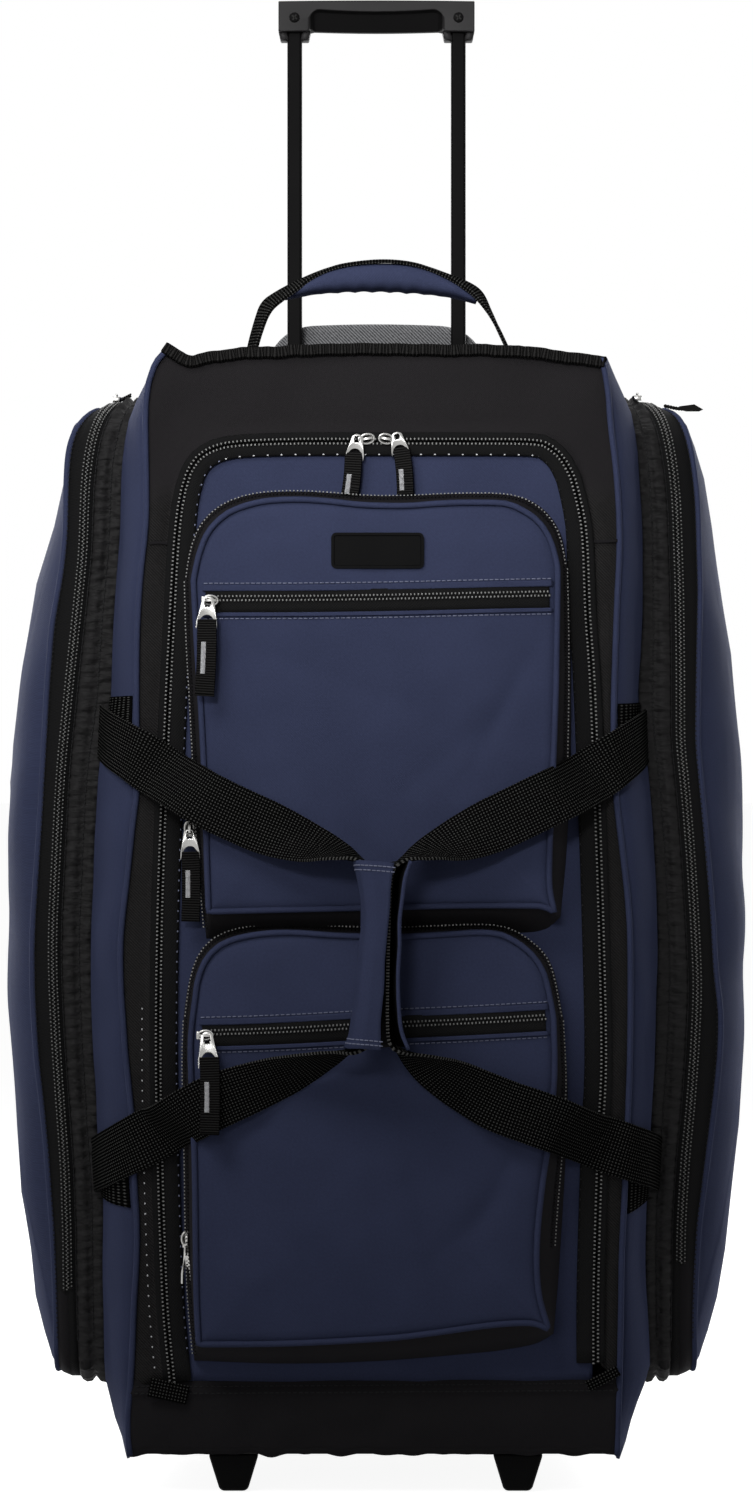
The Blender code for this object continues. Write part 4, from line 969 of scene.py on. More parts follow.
for key in ("upper", "lower"):
    look = pocketLook[key]
    faceSides = fourSides(look["face"], edgeY)
    baseSides = fourSides(look["base"], frontY - 0.0015)
    lipSides, midSides = (
        [[a.lerp(b, share) for a, b in zip(face, foot)] for face, foot in zip(faceSides, baseSides)]
        for share in (pocketLook["lip"], pocketLook["waist"])
    )

    def pocketDepth(x, z, ring):
        swell = 1 - ring ** 2.6
        creased = creaseDepth(look["creases"], x, z) + ripple(x, z, 0.028, 0.0022, look["seed"])
        near = math.exp(-(((1 - ring) / pocketLook["grooveReach"]) ** 2))  # the face sinks behind its piping
        y = edgeY + pocketLook["groove"] * near - pocketLook["crown"] * swell
        return y + 0.6 * creased * (1 - ring ** 6)

    wallDepth = frontY - edgeY
    waistY = edgeY + pocketLook["waistDepth"] * wallDepth
    walls = [
        (lipSides, edgeY + pocketLook["lip"] * wallDepth),
        (midSides, lambda x, z: waistY + ripple(x, z, 0.02, 0.0015, 9.0)),
        (baseSides, frontY - 0.0025),
    ]
    pocket = puffGrid(faceSides, pocketLook["grid"], pocketDepth, walls)
    onPocket[key] = onto(pocket)
    addPiece(key + "Pocket", pocket, "navyCloth", "flap", look["nodes"], more=("blackCloth",))
    around = [point for side in faceSides for point in side[:-1]]
    around = evenly(around + around[:1], 321)[:-1]
    piping = roundCord(pocketLook["piping"], around, closed=True)
    addPiece(key + "PocketPiping", piping, "navyCloth", "flap")
    # the gusset zip on the left, top and right walls
    strokes, glintBends = [], []
    for side, off, out in (
        (3, (-0.0010, 0, 0), (-0.5, -1, 0)), (0, (0, 0, 0.0012), (0, -1, 0.5)), (1, (0.0010, 0, 0), (0.5, -1, 0)),
    ):
        line = [Vector((p.x, waistY - 0.0014, p.z)) + Vector(off) for p in midSides[side]]
        if side == 1:  # the right one ends part of the way down
            line = line[: int(len(line) * look["zipShare"])]
        # only one half of the gusset coil keeps its bends with painted highlight; the other half's are left out
        coils, (glintsLeftOut, glintsKept) = bothHalves(line, Vector(out), pocketLook["gussetCoil"])
        strokes += coils
        glintBends.append(glintsKept)
        glintsLeftOut.free()
    # the gusset coil's strokes take the recess finish, painted shade for the groove they sit in
    addPiece(key + "GussetCoil", joined(strokes), "recess", "flap", sharp=50)
    addPiece(key + "GussetGlintBends", joined(glintBends), "teeth", "flap", sharp=50)
    # the slash zip: a tape with its coil, and a folded welt over each edge
    flat = smoothLine(seenLine(look["slash"], edgeY - 0.006), 121)
    line = [onPocket[key](point.x, point.z, 0.0006) for point in flat]
    inner = line[2:-2]
    tape = ribbon(2 * pocketLook["slashHalf"], tapeWall, inner)
    addPiece(key + "SlashTape", tape, "tapeCloth", "flap")
    row = shifted(inner, 0, -0.0012, pocketLook["slashRaise"])
    strokes, glintBends = bothHalves(row, forward, pocketLook["coil"])
    addPiece(key + "SlashCoil", joined(strokes), "coil", "flap", sharp=50)
    addPiece(key + "SlashGlintBends", joined(glintBends), "teeth", "flap", sharp=50)
    welts = []
    for side, width in ((-1, 0.0030), (1, 0.0046)):
        off = side * (pocketLook["slashHalf"] + width * 0.22)
        row = [onPocket[key](point.x, point.z + off, 0.0012) for point in flat[1:-1]]
        welts.append(ribbon(width, pocketLook["weltThick"], row))
        stitch = side * (pocketLook["slashHalf"] + (0.0042 if side > 0 else 0.0034))
        pocketPaths[key, side] = [onPocket[key](p.x, p.z + stitch, 0.0005) for p in flat[2:-2]]
    addPiece(key + "SlashWelts", joined(welts), "navyCloth", "flap")
print("front pockets built")

# the side pockets: a ruched black band on the body, a zip around, and a crowned navy lid
sideLook = {
    "left": {
        "gusset": [(140, 380), (130, 408), *bodyLook["flareLeft"][24:5:-1], (104.5, 1390)],
        "zip": [(125, 385), (109.3, 400), (101.3, 408.7), (93.9, 426), (88.7, 449), (84.7, 483), (83.5, 518),
                (82.4, 552), (76, 615), (69, 680), (63, 740), (61, 760), (58.4, 798), (55.5, 856), (52.6, 913),
                (51.7, 951), (52.6, 990), (55.5, 1047), (59.5, 1104), (64.3, 1170), (66.4, 1237), (67, 1294),
                (70, 1390)],
        "pipe": [(110, 390), (99, 402), (87.5, 409), (72.6, 426), (66.3, 449), (64.6, 483), (64, 530), (60, 570),
                 (50, 624), (45, 690), (42.4, 742), (38.3, 817), (34.4, 875), (31.6, 913), (30.2, 951), (30.6, 990),
                 (32.5, 1028), (34.8, 1063), (40, 1104), (44, 1144), (47, 1184), (51, 1237), (53.6, 1291),
                 (55, 1345), (55, 1390)],
        "outer": [(110, 390), (99, 402), (86, 409), (71, 426), (64, 449), (61, 488), (46, 544), (31, 602),
                  (18, 666), (6, 743), (1.9, 836), (2.3, 894), (3.8, 951), (6.7, 1028), (8, 1077), (12, 1130),
                  (16, 1184), (20, 1224), (25.4, 1264), (33.5, 1310), (42.9, 1339), (53, 1366), (53, 1390)],
        "sign": -1, "zipEnd": 1294,
    },
    "right": {
        "gusset": [(626, 380), (633, 408), *bodyLook["flareRight"][5:21], (650.2, 1390)],
        "zip": [(640, 392), (654.5, 401.8), (660, 408.7), (666.6, 426), (671, 449), (674.3, 472), (677, 500),
                (679, 559), (680, 590), (681, 666), (681, 743), (686, 790), (691, 850), (695, 914), (698, 975),
                (697.9, 1000), (695.2, 1054), (691.2, 1107), (685.8, 1161), (681.8, 1228), (681.3, 1268),
                (680, 1390)],
        "pipe": [(650, 395), (668, 405), (676, 409), (682.7, 414.4), (689, 432), (693, 449), (696.4, 472),
                 (699.3, 500), (701, 559), (702, 590), (700, 666), (699, 743), (703.5, 790), (709, 850),
                 (714.5, 914), (717.5, 975), (723, 1013), (722, 1054), (718, 1094), (711.3, 1147), (706, 1187),
                 (700.5, 1228), (698, 1268), (695.7, 1321), (696.5, 1390)],
        "outer": [(650, 395), (668, 405), (680, 411), (690.7, 429), (697.6, 447.7), (705.6, 469.6), (710, 489),
                  (719.4, 559), (728, 602), (736, 666), (742, 743), (748, 850), (750, 900), (749, 960),
                  (748.2, 1000), (746.6, 1054), (743.4, 1120), (739.4, 1174), (734, 1228), (726, 1281),
                  (716.6, 1321), (706, 1351), (699, 1362), (697.9, 1390)],
        "sign": 1, "zipEnd": 1267,
    },
    "corner": 0.048, "foot": 0.022, "count": 640, "tapeHalf": 0.0060,
    "rings": (0.975, 0.93, 0.86, 0.76, 0.64, 0.50, 0.36, 0.22, 0.10, 0.03),
    "coil": {"reach": 0.0033, "thick": 0.0013, "pitch": 0.0027, "rows": (0.0005, 0.0029), "dot": (0.0009, 0.0009)},
    "piping": 0.0022, "swell": 0.0026, "gather": 0.0020,
}


def arcs(corners):
    # points round an outline: each corner has its middle, radius and turn
    for u, w, radius, a, b in corners:
        for step in range(9):
            angle = math.radians(a + (b - a) * step / 8)
            yield u + radius * math.cos(angle), w + radius * math.sin(angle)


def acrossAt(pixels, y, z):
    # x where a line seen in the photo crosses this height, at depth y
    points = seenLine(pixels, y)
    for upper, lower in zip(points, points[1:]):
        if lower.z <= z <= upper.z:
            return lower.x + (upper.x - lower.x) * (z - lower.z) / (upper.z - lower.z)
    return points[0].x if z > points[0].z else points[-1].x


def sideLoop(inset, bottom, top, corner, foot):
    # depth and height round a side pocket: from the bottom's middle to the front, up, over and down the back
    y0, y1 = sideFrontY + inset, sideBackY - inset
    corners = [
        (y0 + foot, bottom + foot, foot, -90, -180), (y0 + corner, top - corner, corner, 180, 90),
        (y1 - corner, top - corner, corner, 90, 0), (y1 - foot, bottom + foot, foot, 0, -90),
    ]
    line = [Vector((0, (y0 + y1) / 2, bottom)), *(Vector((0, y, z)) for y, z in arcs(corners))]
    line.append(line[0].copy())
    return evenly(line, sideLook["count"] + 1)[:-1]


sidePaths = {}
for key in ("left", "right"):
    look = sideLook[key]
    sign = look["sign"]
    bag, lid = "bag", "side_pocket_lid_" + key

    def softened(loop, rounds=18):
        for _ in range(rounds):
            loop = [
                Vector(((loop[i - 1].x + 2 * loop[i].x + loop[(i + 1) % len(loop)].x) / 4, loop[i].y, loop[i].z))
                for i in range(len(loop))
            ]
        return loop

    def lineAt(pixels, z):
        return acrossAt(pixels, sideFrontY, z)

    def loopOf(name, inset, bottom, top, corner, off=0.0):
        flat = sideLoop(inset, bottom, top, corner, sideLook["foot"])
        return softened([Vector((lineAt(look[name], p.z) + sign * off, p.y, p.z)) for p in flat])

    low, high, corner = sideBottomZ - 0.009, sideTopZ + 0.0042, sideLook["corner"]
    half = sideLook["tapeHalf"]
    gusset = loopOf("gusset", -0.0005, low, high, corner, -0.004)
    middle = loopOf("zip", 0.0000, low, high + 0.001, corner)
    outside = loopOf("zip", 0.0000, low, high + 0.001, corner, -half)
    inside = loopOf("zip", 0.0035, low + 0.002, high - 0.001, corner - 0.002, half)
    pipe = loopOf("pipe", 0.0085, low + 0.004, high - 0.004, corner - 0.006)
    # the ruched band from the body to the zip
    ruched = []
    for share in (0.0, 0.06, 0.2, 0.36, 0.5, 0.64, 0.8, 0.94, 1.0):
        loop = [a.lerp(b, share) for a, b in zip(gusset, outside)]
        swell = abs(math.sin(2 * math.pi * share)) ** 0.6  # two puffed columns with a stitched line between
        for i, point in enumerate(loop):
            run = i * 1.72 / len(loop)
            away = Vector((0, point.y - (sideFrontY + sideBackY) / 2, point.z - (low + high) / 2))
            away.x, away.y = 0.0, math.copysign(1.0, away.y) if abs(away.y) > 0.09 else 0.0
            away.z = math.copysign(1.0, away.z) if abs(away.z) > 0.33 else 0.0
            gather = sideLook["gather"] * math.sin(run * 820 + 1.8 * math.sin(run * 60) + 3 * (share > 0.5))
            gather += ripple(run, share * 0.02, 0.016, 0.0024, 4.0)
            point += away * swell * (sideLook["swell"] + gather)
        ruched.append(loop)
    band = skinLoops(ruched, cap=False)
    nodes = ("side_band_" + key,)
    addPiece("sideBand" + key.title(), band, "ruchedCloth", bag, nodes, wall=clothWall, lining="liningCloth")
    endZ = seen(0, look["zipEnd"], sideFrontY).z
    # half the zip's tape stays on the band, half goes with the lid
    tape = skinLoops([outside, middle], cap=False)
    addPiece("sideTape" + key.title(), tape, "tapeCloth", bag, wall=tapeWall)
    loops = [[a.lerp(b, 0.02) for a, b in zip(middle, inside)], inside, pipe]
    centre = Vector((0, (sideFrontY + sideBackY) / 2, (low + high) / 2))
    for share in sideLook["rings"]:
        loop = []
        for point in pipe:
            y = centre.y + (point.y - centre.y) * share
            z = centre.z + (point.z - centre.z) * share
            edge = lineAt(look["pipe"], z)
            bulge = max(sign * (acrossAt(look["outer"], 0.0, z) - edge), 0.0)
            deep = abs(y - centre.y) / ((sideBackY - sideFrontY) / 2 - 0.0085)
            x = edge + sign * bulge * (1 - min(deep, 1.0) ** 3.6)
            x += ripple(y, z, 0.06, 0.004, 31.0 + sign) * (1 - share ** 4)
            loop.append(Vector((x, y, z)))
        loops.append(softened(loop, 24))
    cover = skinLoops(loops, finishOf=(1, 1, 0))
    weave = cover.loops.layers.uv["weave"]
    for face in cover.faces:
        for loop in face.loops:
            loop[weave].uv = (loop.vert.co.y + loop.vert.co.x, loop.vert.co.z)
        if face.material_index == 1 and face.calc_center_median().z < endZ:
            face.material_index = 2
    addPiece(
        "sideLid" + key.title(), cover, "navyCloth", lid, ("side_lid_" + key,), wall=0.0018, lining="liningCloth",
        more=("tapeCloth", "blackCloth"),
    )
    seam = roundCord(sideLook["piping"], pipe, Vector((sign, 0, 0)), True)
    addPiece("sidePiping" + key.title(), seam, "navyCloth", lid)
    # teeth from the front's zip end, over the top, to the back's
    run = [point + Vector((0, -0.0012 if point.y < 0 else 0.0012, 0.0)) for point in middle if point.z > endZ]
    facing = []
    for point in run:
        out = Vector((sign * 0.2, -1.0 if point.y < 0.02 else 1.0 if point.y > 0.09 else 0.0, 0.0))
        if point.z > high - corner:
            out = Vector((0, point.y - centre.y, point.z - (high - corner))).normalized() + Vector((sign * 0.2, 0, 0))
        facing.append(out.normalized())
    for part, body, half in (("Band", bag, -1), ("Lid", lid, 1)):
        strokes, glintBends = zipCoil(run, facing, sideLook["coil"], half * sign, int(half > 0))
        addPiece("sideCoil" + part + key.title(), strokes, "coil", body, sharp=50)
        addPiece("sideGlintBends" + part + key.title(), glintBends, "teeth", body, sharp=50)
    sidePaths[key] = {"ruched": ruched, "hem": [a.lerp(b, 0.22) for a, b in zip(pipe, inside)]}
print("side pockets built")

# the carry straps: flat webbing that runs from the side seams over the pockets and turns on edge into the wrap
strapPath = {
    "left": [
        (99, 731, -0.0440, (-0.9, -0.4, 0)), (109, 740, -0.0800, (-0.8, -0.6, 0)),
        (133, 755, -0.1030, (-0.5, -0.85, 0)), (160, 772, -0.1090, (0.25, -1, 0)),
        (188, 789, -0.1350, (0.2, -1, 0)), (212, 803, -0.1430, (0, -1, 0.05)), (262, 826, -0.1455, (0, -1, 0.2)),
        (311, 845, -0.1520, (0.1, -0.65, 0.75)), (345, 857, -0.1630, (0.2, -0.15, 1)),
        (365, 866, -0.1690, (0.7, 0, 0.7)), (371, 882, -0.1700, (1, 0, 0)), (372, 960, -0.1700, (1, 0, 0)),
        (370, 1034, -0.1700, (1, 0, 0)), (362, 1046, -0.1690, (0.7, 0, -0.7)),
        (338, 1054, -0.1630, (0.2, -0.15, -1)), (284, 1076, -0.1510, (0.1, -0.75, -0.65)),
        (226, 1098, -0.1460, (0, -1, -0.15)), (200, 1110, -0.1425, (0, -1, 0)), (180, 1121, -0.1330, (0.2, -1, 0)),
        (158, 1132, -0.1090, (0.25, -1, 0)), (131, 1146, -0.1030, (-0.5, -0.85, 0)),
        (104, 1160, -0.0800, (-0.8, -0.6, 0)), (93, 1166, -0.0440, (-0.9, -0.4, 0)),
    ],
    "right": [
        (647, 736, -0.0440, (0.9, -0.4, 0)), (640, 743, -0.0800, (0.8, -0.6, 0)),
        (618, 759, -0.1030, (0.5, -0.85, 0)), (592, 776, -0.1090, (-0.25, -1, 0)),
        (565, 791, -0.1350, (-0.2, -1, 0)), (542, 802, -0.1430, (0, -1, 0.05)), (494, 825, -0.1455, (0, -1, 0.2)),
        (450, 844, -0.1520, (-0.1, -0.65, 0.75)), (418, 857, -0.1630, (-0.2, -0.15, 1)),
        (398, 866, -0.1690, (-0.7, 0, 0.7)), (391, 882, -0.1700, (-1, 0, 0)), (388, 960, -0.1700, (-1, 0, 0)),
        (388, 1034, -0.1700, (-1, 0, 0)), (395, 1046, -0.1690, (-0.7, 0, -0.7)),
        (412, 1056, -0.1640, (-0.2, -0.15, -1)), (446, 1078, -0.1530, (-0.1, -0.75, -0.65)),
        (495, 1104, -0.1465, (0, -1, -0.15)), (530, 1117, -0.1440, (0, -1, 0)), (558, 1127, -0.1390, (0, -1, 0)),
        (578, 1135, -0.1230, (-0.2, -1, 0)), (600, 1143, -0.1070, (-0.25, -1, 0)),
        (629, 1153, -0.1030, (0.5, -0.85, 0)), (653, 1161, -0.0800, (0.8, -0.6, 0)),
        (660, 1165, -0.0440, (0.9, -0.4, 0)),
    ],
}
strapSize = {
    "width": 0.038, "thick": 0.0022, "steps": 220,
    "hold": (0.186, -0.045, 0.3745), "free": (0.155, -0.115, 0.3745),  # where the webbing is sewn in, and hangs free
}


def twistLine(stations, count):
    # evenly spaced points and facings on a smooth line through the stations
    spots = [seen(px, py, y) for px, py, y, _ in stations]
    ways = [Vector(way).normalized() for _, _, _, way in stations]
    dense, turns = [], []
    for i in range(len(spots) - 1):
        near = [max(i - 1, 0), i, i + 1, min(i + 2, len(spots) - 1)]
        for step in range(12):
            t = step / 12
            weights = (
                (-t + 2 * t * t - t ** 3) / 2, (2 - 5 * t * t + 3 * t ** 3) / 2,
                (t + 4 * t * t - 3 * t ** 3) / 2, (t ** 3 - t * t) / 2,
            )
            dense.append(sum((spots[k] * w for k, w in zip(near, weights)), Vector()))
            turns.append(ways[i].lerp(ways[i + 1], t))
    dense.append(spots[-1])
    turns.append(ways[-1])
    points = evenly(dense, count)
    facing, k = [], 0
    for point in points:
        ahead = range(k, min(k + 14, len(dense)))
        k = min(ahead, key=lambda j: (dense[j] - point).length)
        facing.append(turns[k].normalized())
    for _ in range(4):
        facing = [
            (facing[max(i - 1, 0)] + facing[i] * 2 + facing[min(i + 1, count - 1)]).normalized() for i in range(count)
        ]
    return points, facing


for key, sign in (("left", -1), ("right", 1)):
    points, facing = twistLine(strapPath[key], strapSize["steps"])
    strap = ribbon(strapSize["width"], strapSize["thick"], points, facing)
    piece = addPiece("carryStrap" + key.title(), strap, "webbing", None, ("carry_strap_" + key,), sharp=50)
    hold, free = ((sign * x, y, z) for x, y, z in (strapSize["hold"], strapSize["free"]))
    "strap_" + key
    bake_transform(piece)
    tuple(hold)
    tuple(free)

# the wrap: a padded sheet folded round both straps, open at the front right
wrapLook = {
    "left": [(353, 863), (359, 890), (361, 925), (358, 960), (353, 1010), (349, 1035), (343, 1051)],
    "edge": [(394, 863), (391, 890), (388, 930), (386, 960), (383, 1005), (381, 1030), (380, 1051)],
    "right": [(411, 862), (404, 882), (401, 920), (399, 960), (398, 1000), (402, 1030), (409, 1051)],
    "front": -0.1925, "back": -0.1475, "rows": 40, "wall": 0.0026,
}
wrapLines = {key: smoothLine(seenLine(wrapLook[key], -0.19), wrapLook["rows"] + 1) for key in ("left", "edge", "right")}


def wrapPoint(u, v):
    row = round((1 - v) * wrapLook["rows"])
    left, edge, right = (wrapLines[key][row] for key in ("left", "edge", "right"))
    front, back = wrapLook["front"], wrapLook["back"]
    corners = [
        (edge.x, front), (left.x + 0.010, front - 0.0006), (left.x + 0.003, front + 0.003), (left.x, front + 0.012),
        (left.x, back - 0.012), (left.x + 0.004, back - 0.003), (left.x + 0.012, back), (right.x - 0.012, back),
        (right.x - 0.004, back - 0.003), (right.x, back - 0.012), (right.x, front + 0.014),
        (right.x + 0.001, front + 0.004),
    ]
    line = evenly([Vector((x, y, 0)) for x, y in corners], 61)
    spot = line[round(u * 60)]
    ripples = ripple(spot.x + spot.y, left.z, 0.02, 0.0009, 17.0)
    return Vector((spot.x + ripples, spot.y, left.z + 0.0015 * math.sin(u * 9)))


wrap = clothGrid(60, wrapLook["rows"], wrapPoint, (0.15, 0.128))
bmesh.ops.reverse_faces(wrap, faces=wrap.faces)
wrapPiece = addPiece(
    "strapWrap", wrap, "navyCloth", "strap_left", ("strap_wrap",), wall=wrapLook["wall"], lining="tapeCloth"
)
print("straps built")

# the grab handle: twisted webbing over a navy pad
grabLook = {
    "path": [
        (252, 348, (-1, -0.24, 0.3)), (256, 333, (-1, -0.26, 0.3)), (262, 315, (-1, -0.3, 0.4)),
        (268, 304, (-0.7, -0.35, 0.7)), (278, 296, (-0.45, -0.35, 1)), (292, 287, (-0.5, -0.3, 1)),
        (314, 274, (-0.4, -0.14, 1)), (335, 266, (-0.2, -0.10, 1)), (356, 262, (-0.1, -0.10, 1)),
        (380, 260, (0, -0.10, 1)), (402, 261, (0.1, -0.10, 1)), (422, 265, (0.2, -0.10, 1)),
        (446, 274, (0.4, -0.14, 1)), (466, 284, (0.5, -0.26, 1)), (478, 293, (0.6, -0.26, 0.8)),
        (489, 310, (0.9, -0.12, 0.5)), (498, 327, (1, -0.06, 0.5)), (507, 346, (1, -0.06, 0.5)),
    ],
    "y": -0.0699, "width": 0.030, "thick": 0.0026, "steps": 120, "padSides": 28,
    "padPath": [(284, 296), (300, 290), (325, 282), (350, 278), (378, 277), (405, 278), (430, 282), (455, 290),
                (477, 300)],
    "padHalf": [0.0020, 0.0046, 0.0080, 0.0094, 0.0098, 0.0098, 0.0082, 0.0050, 0.0020],
    "padDepth": [0.009, 0.0145, 0.0155, 0.0160, 0.0162, 0.0160, 0.0155, 0.0145, 0.009],
}
stations = [(px, py, grabLook["y"], way) for px, py, way in grabLook["path"]]
points, facing = twistLine(stations, grabLook["steps"])
handle = ribbon(grabLook["width"], grabLook["thick"], points, facing)
grabPiece = addPiece("grabWebbing", handle, "webbing", None, ("grab_webbing",), sharp=50)
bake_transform(grabPiece)
padLine = smoothLine(seenLine(grabLook["padPath"], grabLook["y"]), 97)
padLoops = []
for i, place in enumerate(framesAlong(padLine, Vector((0, 0, 1)))):
    share = i / (len(padLine) - 1)
    spot = share * (len(grabLook["padHalf"]) - 1)
    k = min(int(spot), len(grabLook["padHalf"]) - 2)
    sizes = grabLook["padHalf"], grabLook["padDepth"]
    tall, deep = (size[k] + (size[k + 1] - size[k]) * (spot - k) for size in sizes)
    pinch = 1 - 0.10 * abs(math.sin(i * 0.36)) * math.sin(math.pi * i / (len(padLine) - 1))
    loop = []
    for step in range(grabLook["padSides"]):
        angle = math.tau * step / grabLook["padSides"]
        c, s = math.cos(angle), math.sin(angle)
        lower = pinch if s < 0 else 1.0
        rim = Vector((deep * math.copysign(abs(c) ** 0.6, c), tall * lower * math.copysign(abs(s) ** 0.8, s), 0))
        loop.append(place @ rim)
    padLoops.append(loop)
pad = skinLoops(padLoops)
closeEnds(pad)
padPiece = addPiece("grabPad", pad, "navyCloth", "grab_handle", ("grab_pad",))
print("grab handle built")

# trim on the body: binding on the top edge, and piping round the front and the back
trimLook = {
    "binding": [(164, 347), *((px, py + 3) for px, py in bodyLook["top"][1:-1]), (606, 361)],
    "bindingWidth": 0.0086, "bindingThick": 0.0040, "piping": 0.0021, "rearPiping": 0.0026,
}
edge = smoothLine(seenLine(trimLook["binding"], frontY - 0.0012), 481)
for i, point in enumerate(edge):  # puckered by its stitching
    point.y -= 0.0004 * math.sin(i * 0.62 + 2 * math.sin(i * 0.05))
    point.z += ripple(point.x, 0, 0.02, 0.0010, 2.0) + ripple(point.x, 1, 0.006, 0.0004, 2.0)
binding = ribbon(trimLook["bindingWidth"], trimLook["bindingThick"], edge, Vector((0, -1, 0.25)))
addPiece("topBinding", binding, "grosgrain", "bag", ("top_binding",), sharp=60)
cords = []
for part in (frontLine[: archCounts[0] + 1], frontLine[archCounts[0] + archCounts[1]:]):
    cords.append(roundCord(trimLook["piping"], evenly(shifted(part, 0, -0.0018, 0), 140)))
addPiece("frontPiping", joined(cords), "navyCloth", "bag")
cord = roundCord(trimLook["rearPiping"], evenly(shifted(rearLine, 0, 0.0025, 0), 300), Vector((0, 1, 0)))
addPiece("rearPiping", cord, "navyCloth", "bag")

# the back: black cloth drawn over the two tubes, cut out for the wheel housings
backLook = {"rows": 64, "columns": 64, "ridge": 0.0016, "tubeX": 0.061, "notch": (0.1075, 0.1625, 0.0855)}
rearSide = [Vector((x, 0, z)) for x, z in bodyLook["rearSide"]]


def rearHalf(z):
    for a, b in zip(rearSide, rearSide[1:]):
        if a.z <= z <= b.z:
            return a.x + (b.x - a.x) * (z - a.z) / (b.z - a.z)
    return rearSide[-1].x


def backPoint(u, v):
    z = bottomZ + (topZ - bottomZ) * v
    x = (1 - 2 * u) * rearHalf(z)
    ridge = sum(math.exp(-(((x - side * backLook["tubeX"]) / 0.009) ** 2)) for side in (-1, 1))
    swell = math.sin(math.pi * u) ** 0.4 * math.sin(math.pi * v) ** 0.4
    y = backY - 0.0015 + (backLook["ridge"] * ridge + ripple(x, z, 0.06, 0.003, 41.0)) * swell
    return Vector((x, y, z))


back = clothGrid(backLook["columns"], backLook["rows"], backPoint, (0.38, 0.76))
inner, outer, roof = backLook["notch"]
for side in (-1, 1):
    for x in (inner, outer):
        geom = back.verts[:] + back.edges[:] + back.faces[:]
        bmesh.ops.bisect_plane(back, geom=geom, plane_co=(side * x, 0, 0), plane_no=(1, 0, 0))
geom = back.verts[:] + back.edges[:] + back.faces[:]
bmesh.ops.bisect_plane(back, geom=geom, plane_co=(0, 0, roof), plane_no=(0, 0, 1))
gone = []
for face in back.faces:
    spot = face.calc_center_median()
    if inner < abs(spot.x) < outer and spot.z < roof:
        gone.append(face)
bmesh.ops.delete(back, geom=gone, context="FACES")
addPiece("backCover", back, "blackCloth", "bag", ("back_cover",), wall=0.0018, lining="liningCloth")

# the grey hump behind the tubes
capLook = {
    "half": 0.0830, "low": 0.7174, "high": 0.8278, "corner": 0.034, "foot": 0.012, "front": 0.1826, "back": 0.1945,
}


def capLoop(share, y):
    half, low, high, corner, foot = (capLook[key] for key in ("half", "low", "high", "corner", "foot"))
    corners = [
        (half - foot, low + foot, foot, -90, 0), (half - corner, high - corner, corner, 0, 90),
        (corner - half, high - corner, corner, 90, 180), (foot - half, low + foot, foot, 180, 270),
    ]
    line = [Vector((0, 0, low)), *(Vector((x, 0, z)) for x, z in arcs(corners))]
    line.append(line[0].copy())
    middle = Vector((0, 0, (low + high) / 2))
    loop = [middle.lerp(point, share) for point in evenly(line, 97)[:-1]]
    return [Vector((p.x, y, p.z + 0.003 * math.cos(p.x * 19) * share * (p.z > middle.z))) for p in loop]


front, rear = capLook["front"], capLook["back"]
steps = [(0.05, front), (0.5, front), (0.9, front), (0.975, front + 0.0005), (1.0, front + 0.003), (1.0, rear - 0.004)]
steps += [(0.985, rear - 0.0015), (0.94, rear - 0.0004), (0.7, rear), (0.4, rear), (0.05, rear)]
cap = skinLoops([capLoop(share, y) for share, y in steps])
closeEnds(cap)
addPiece("rearCap", cap, "heather", "bag", ("rear_cap",))
print("trim and back built")

# the trolley's grip: end blocks on the tubes, a rail across and a recessed bar under it
gripLow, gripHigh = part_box("trolley_grip")
gripMiddle = (gripLow.y + gripHigh.y) / 2
gripLook = {
    "half": 0.0730, "deep": 0.0108, "block": 0.0505, "rail": 0.0066, "recess": 0.0036, "blockLow": 0.0226,
    "barLow": 0.0214, "sag": 0.0016, "bevel": 0.0013, "dip": 0.0020, "clip": (0.0062, 0.0150, 0.0072),
}


def gripLoop(x):
    away = abs(x)
    top = gripHigh.z - 0.0006 * (away / gripLook["half"]) ** 2
    inset = within((gripLook["block"] - away) / 0.004)
    rounding = max(away - gripLook["block"] + 0.009, 0.0) / 0.009
    rail = top - gripLook["rail"] - 0.006 * min(rounding, 1.0) ** 2.4 * (inset < 1 or rounding > 0)
    low = top - gripLook["blockLow"] if inset == 0 else top - gripLook["barLow"] - gripLook["sag"] * math.cos(x * 27)
    deep = gripLook["deep"]
    shy = deep - gripLook["recess"] * inset
    rail = max(rail - gripLook["dip"] * max(1 - (x / 0.044) ** 2, 0.0), low + 0.003)  # deepest in the middle
    lean = 0.0040 * inset
    sides = [
        (-deep, top), (deep, top), (deep, rail), (shy, rail - 0.0012), (shy - lean, low), (lean - shy, low),
        (-shy, rail - 0.0012), (-deep, rail),
    ]
    return [Vector((x, gripMiddle + y, z)) for y, z in sides]


stops = (gripLook["half"], 0.0518, 0.0503, 0.0490, 0.0478, 0.0462, 0.0440, 0.0415, 0.036, 0.026, 0.013, 0.0)
stops = [-x for x in stops] + [x for x in stops[-2::-1]]
grip = skinLoops([gripLoop(x) for x in stops])
closeEnds(grip)
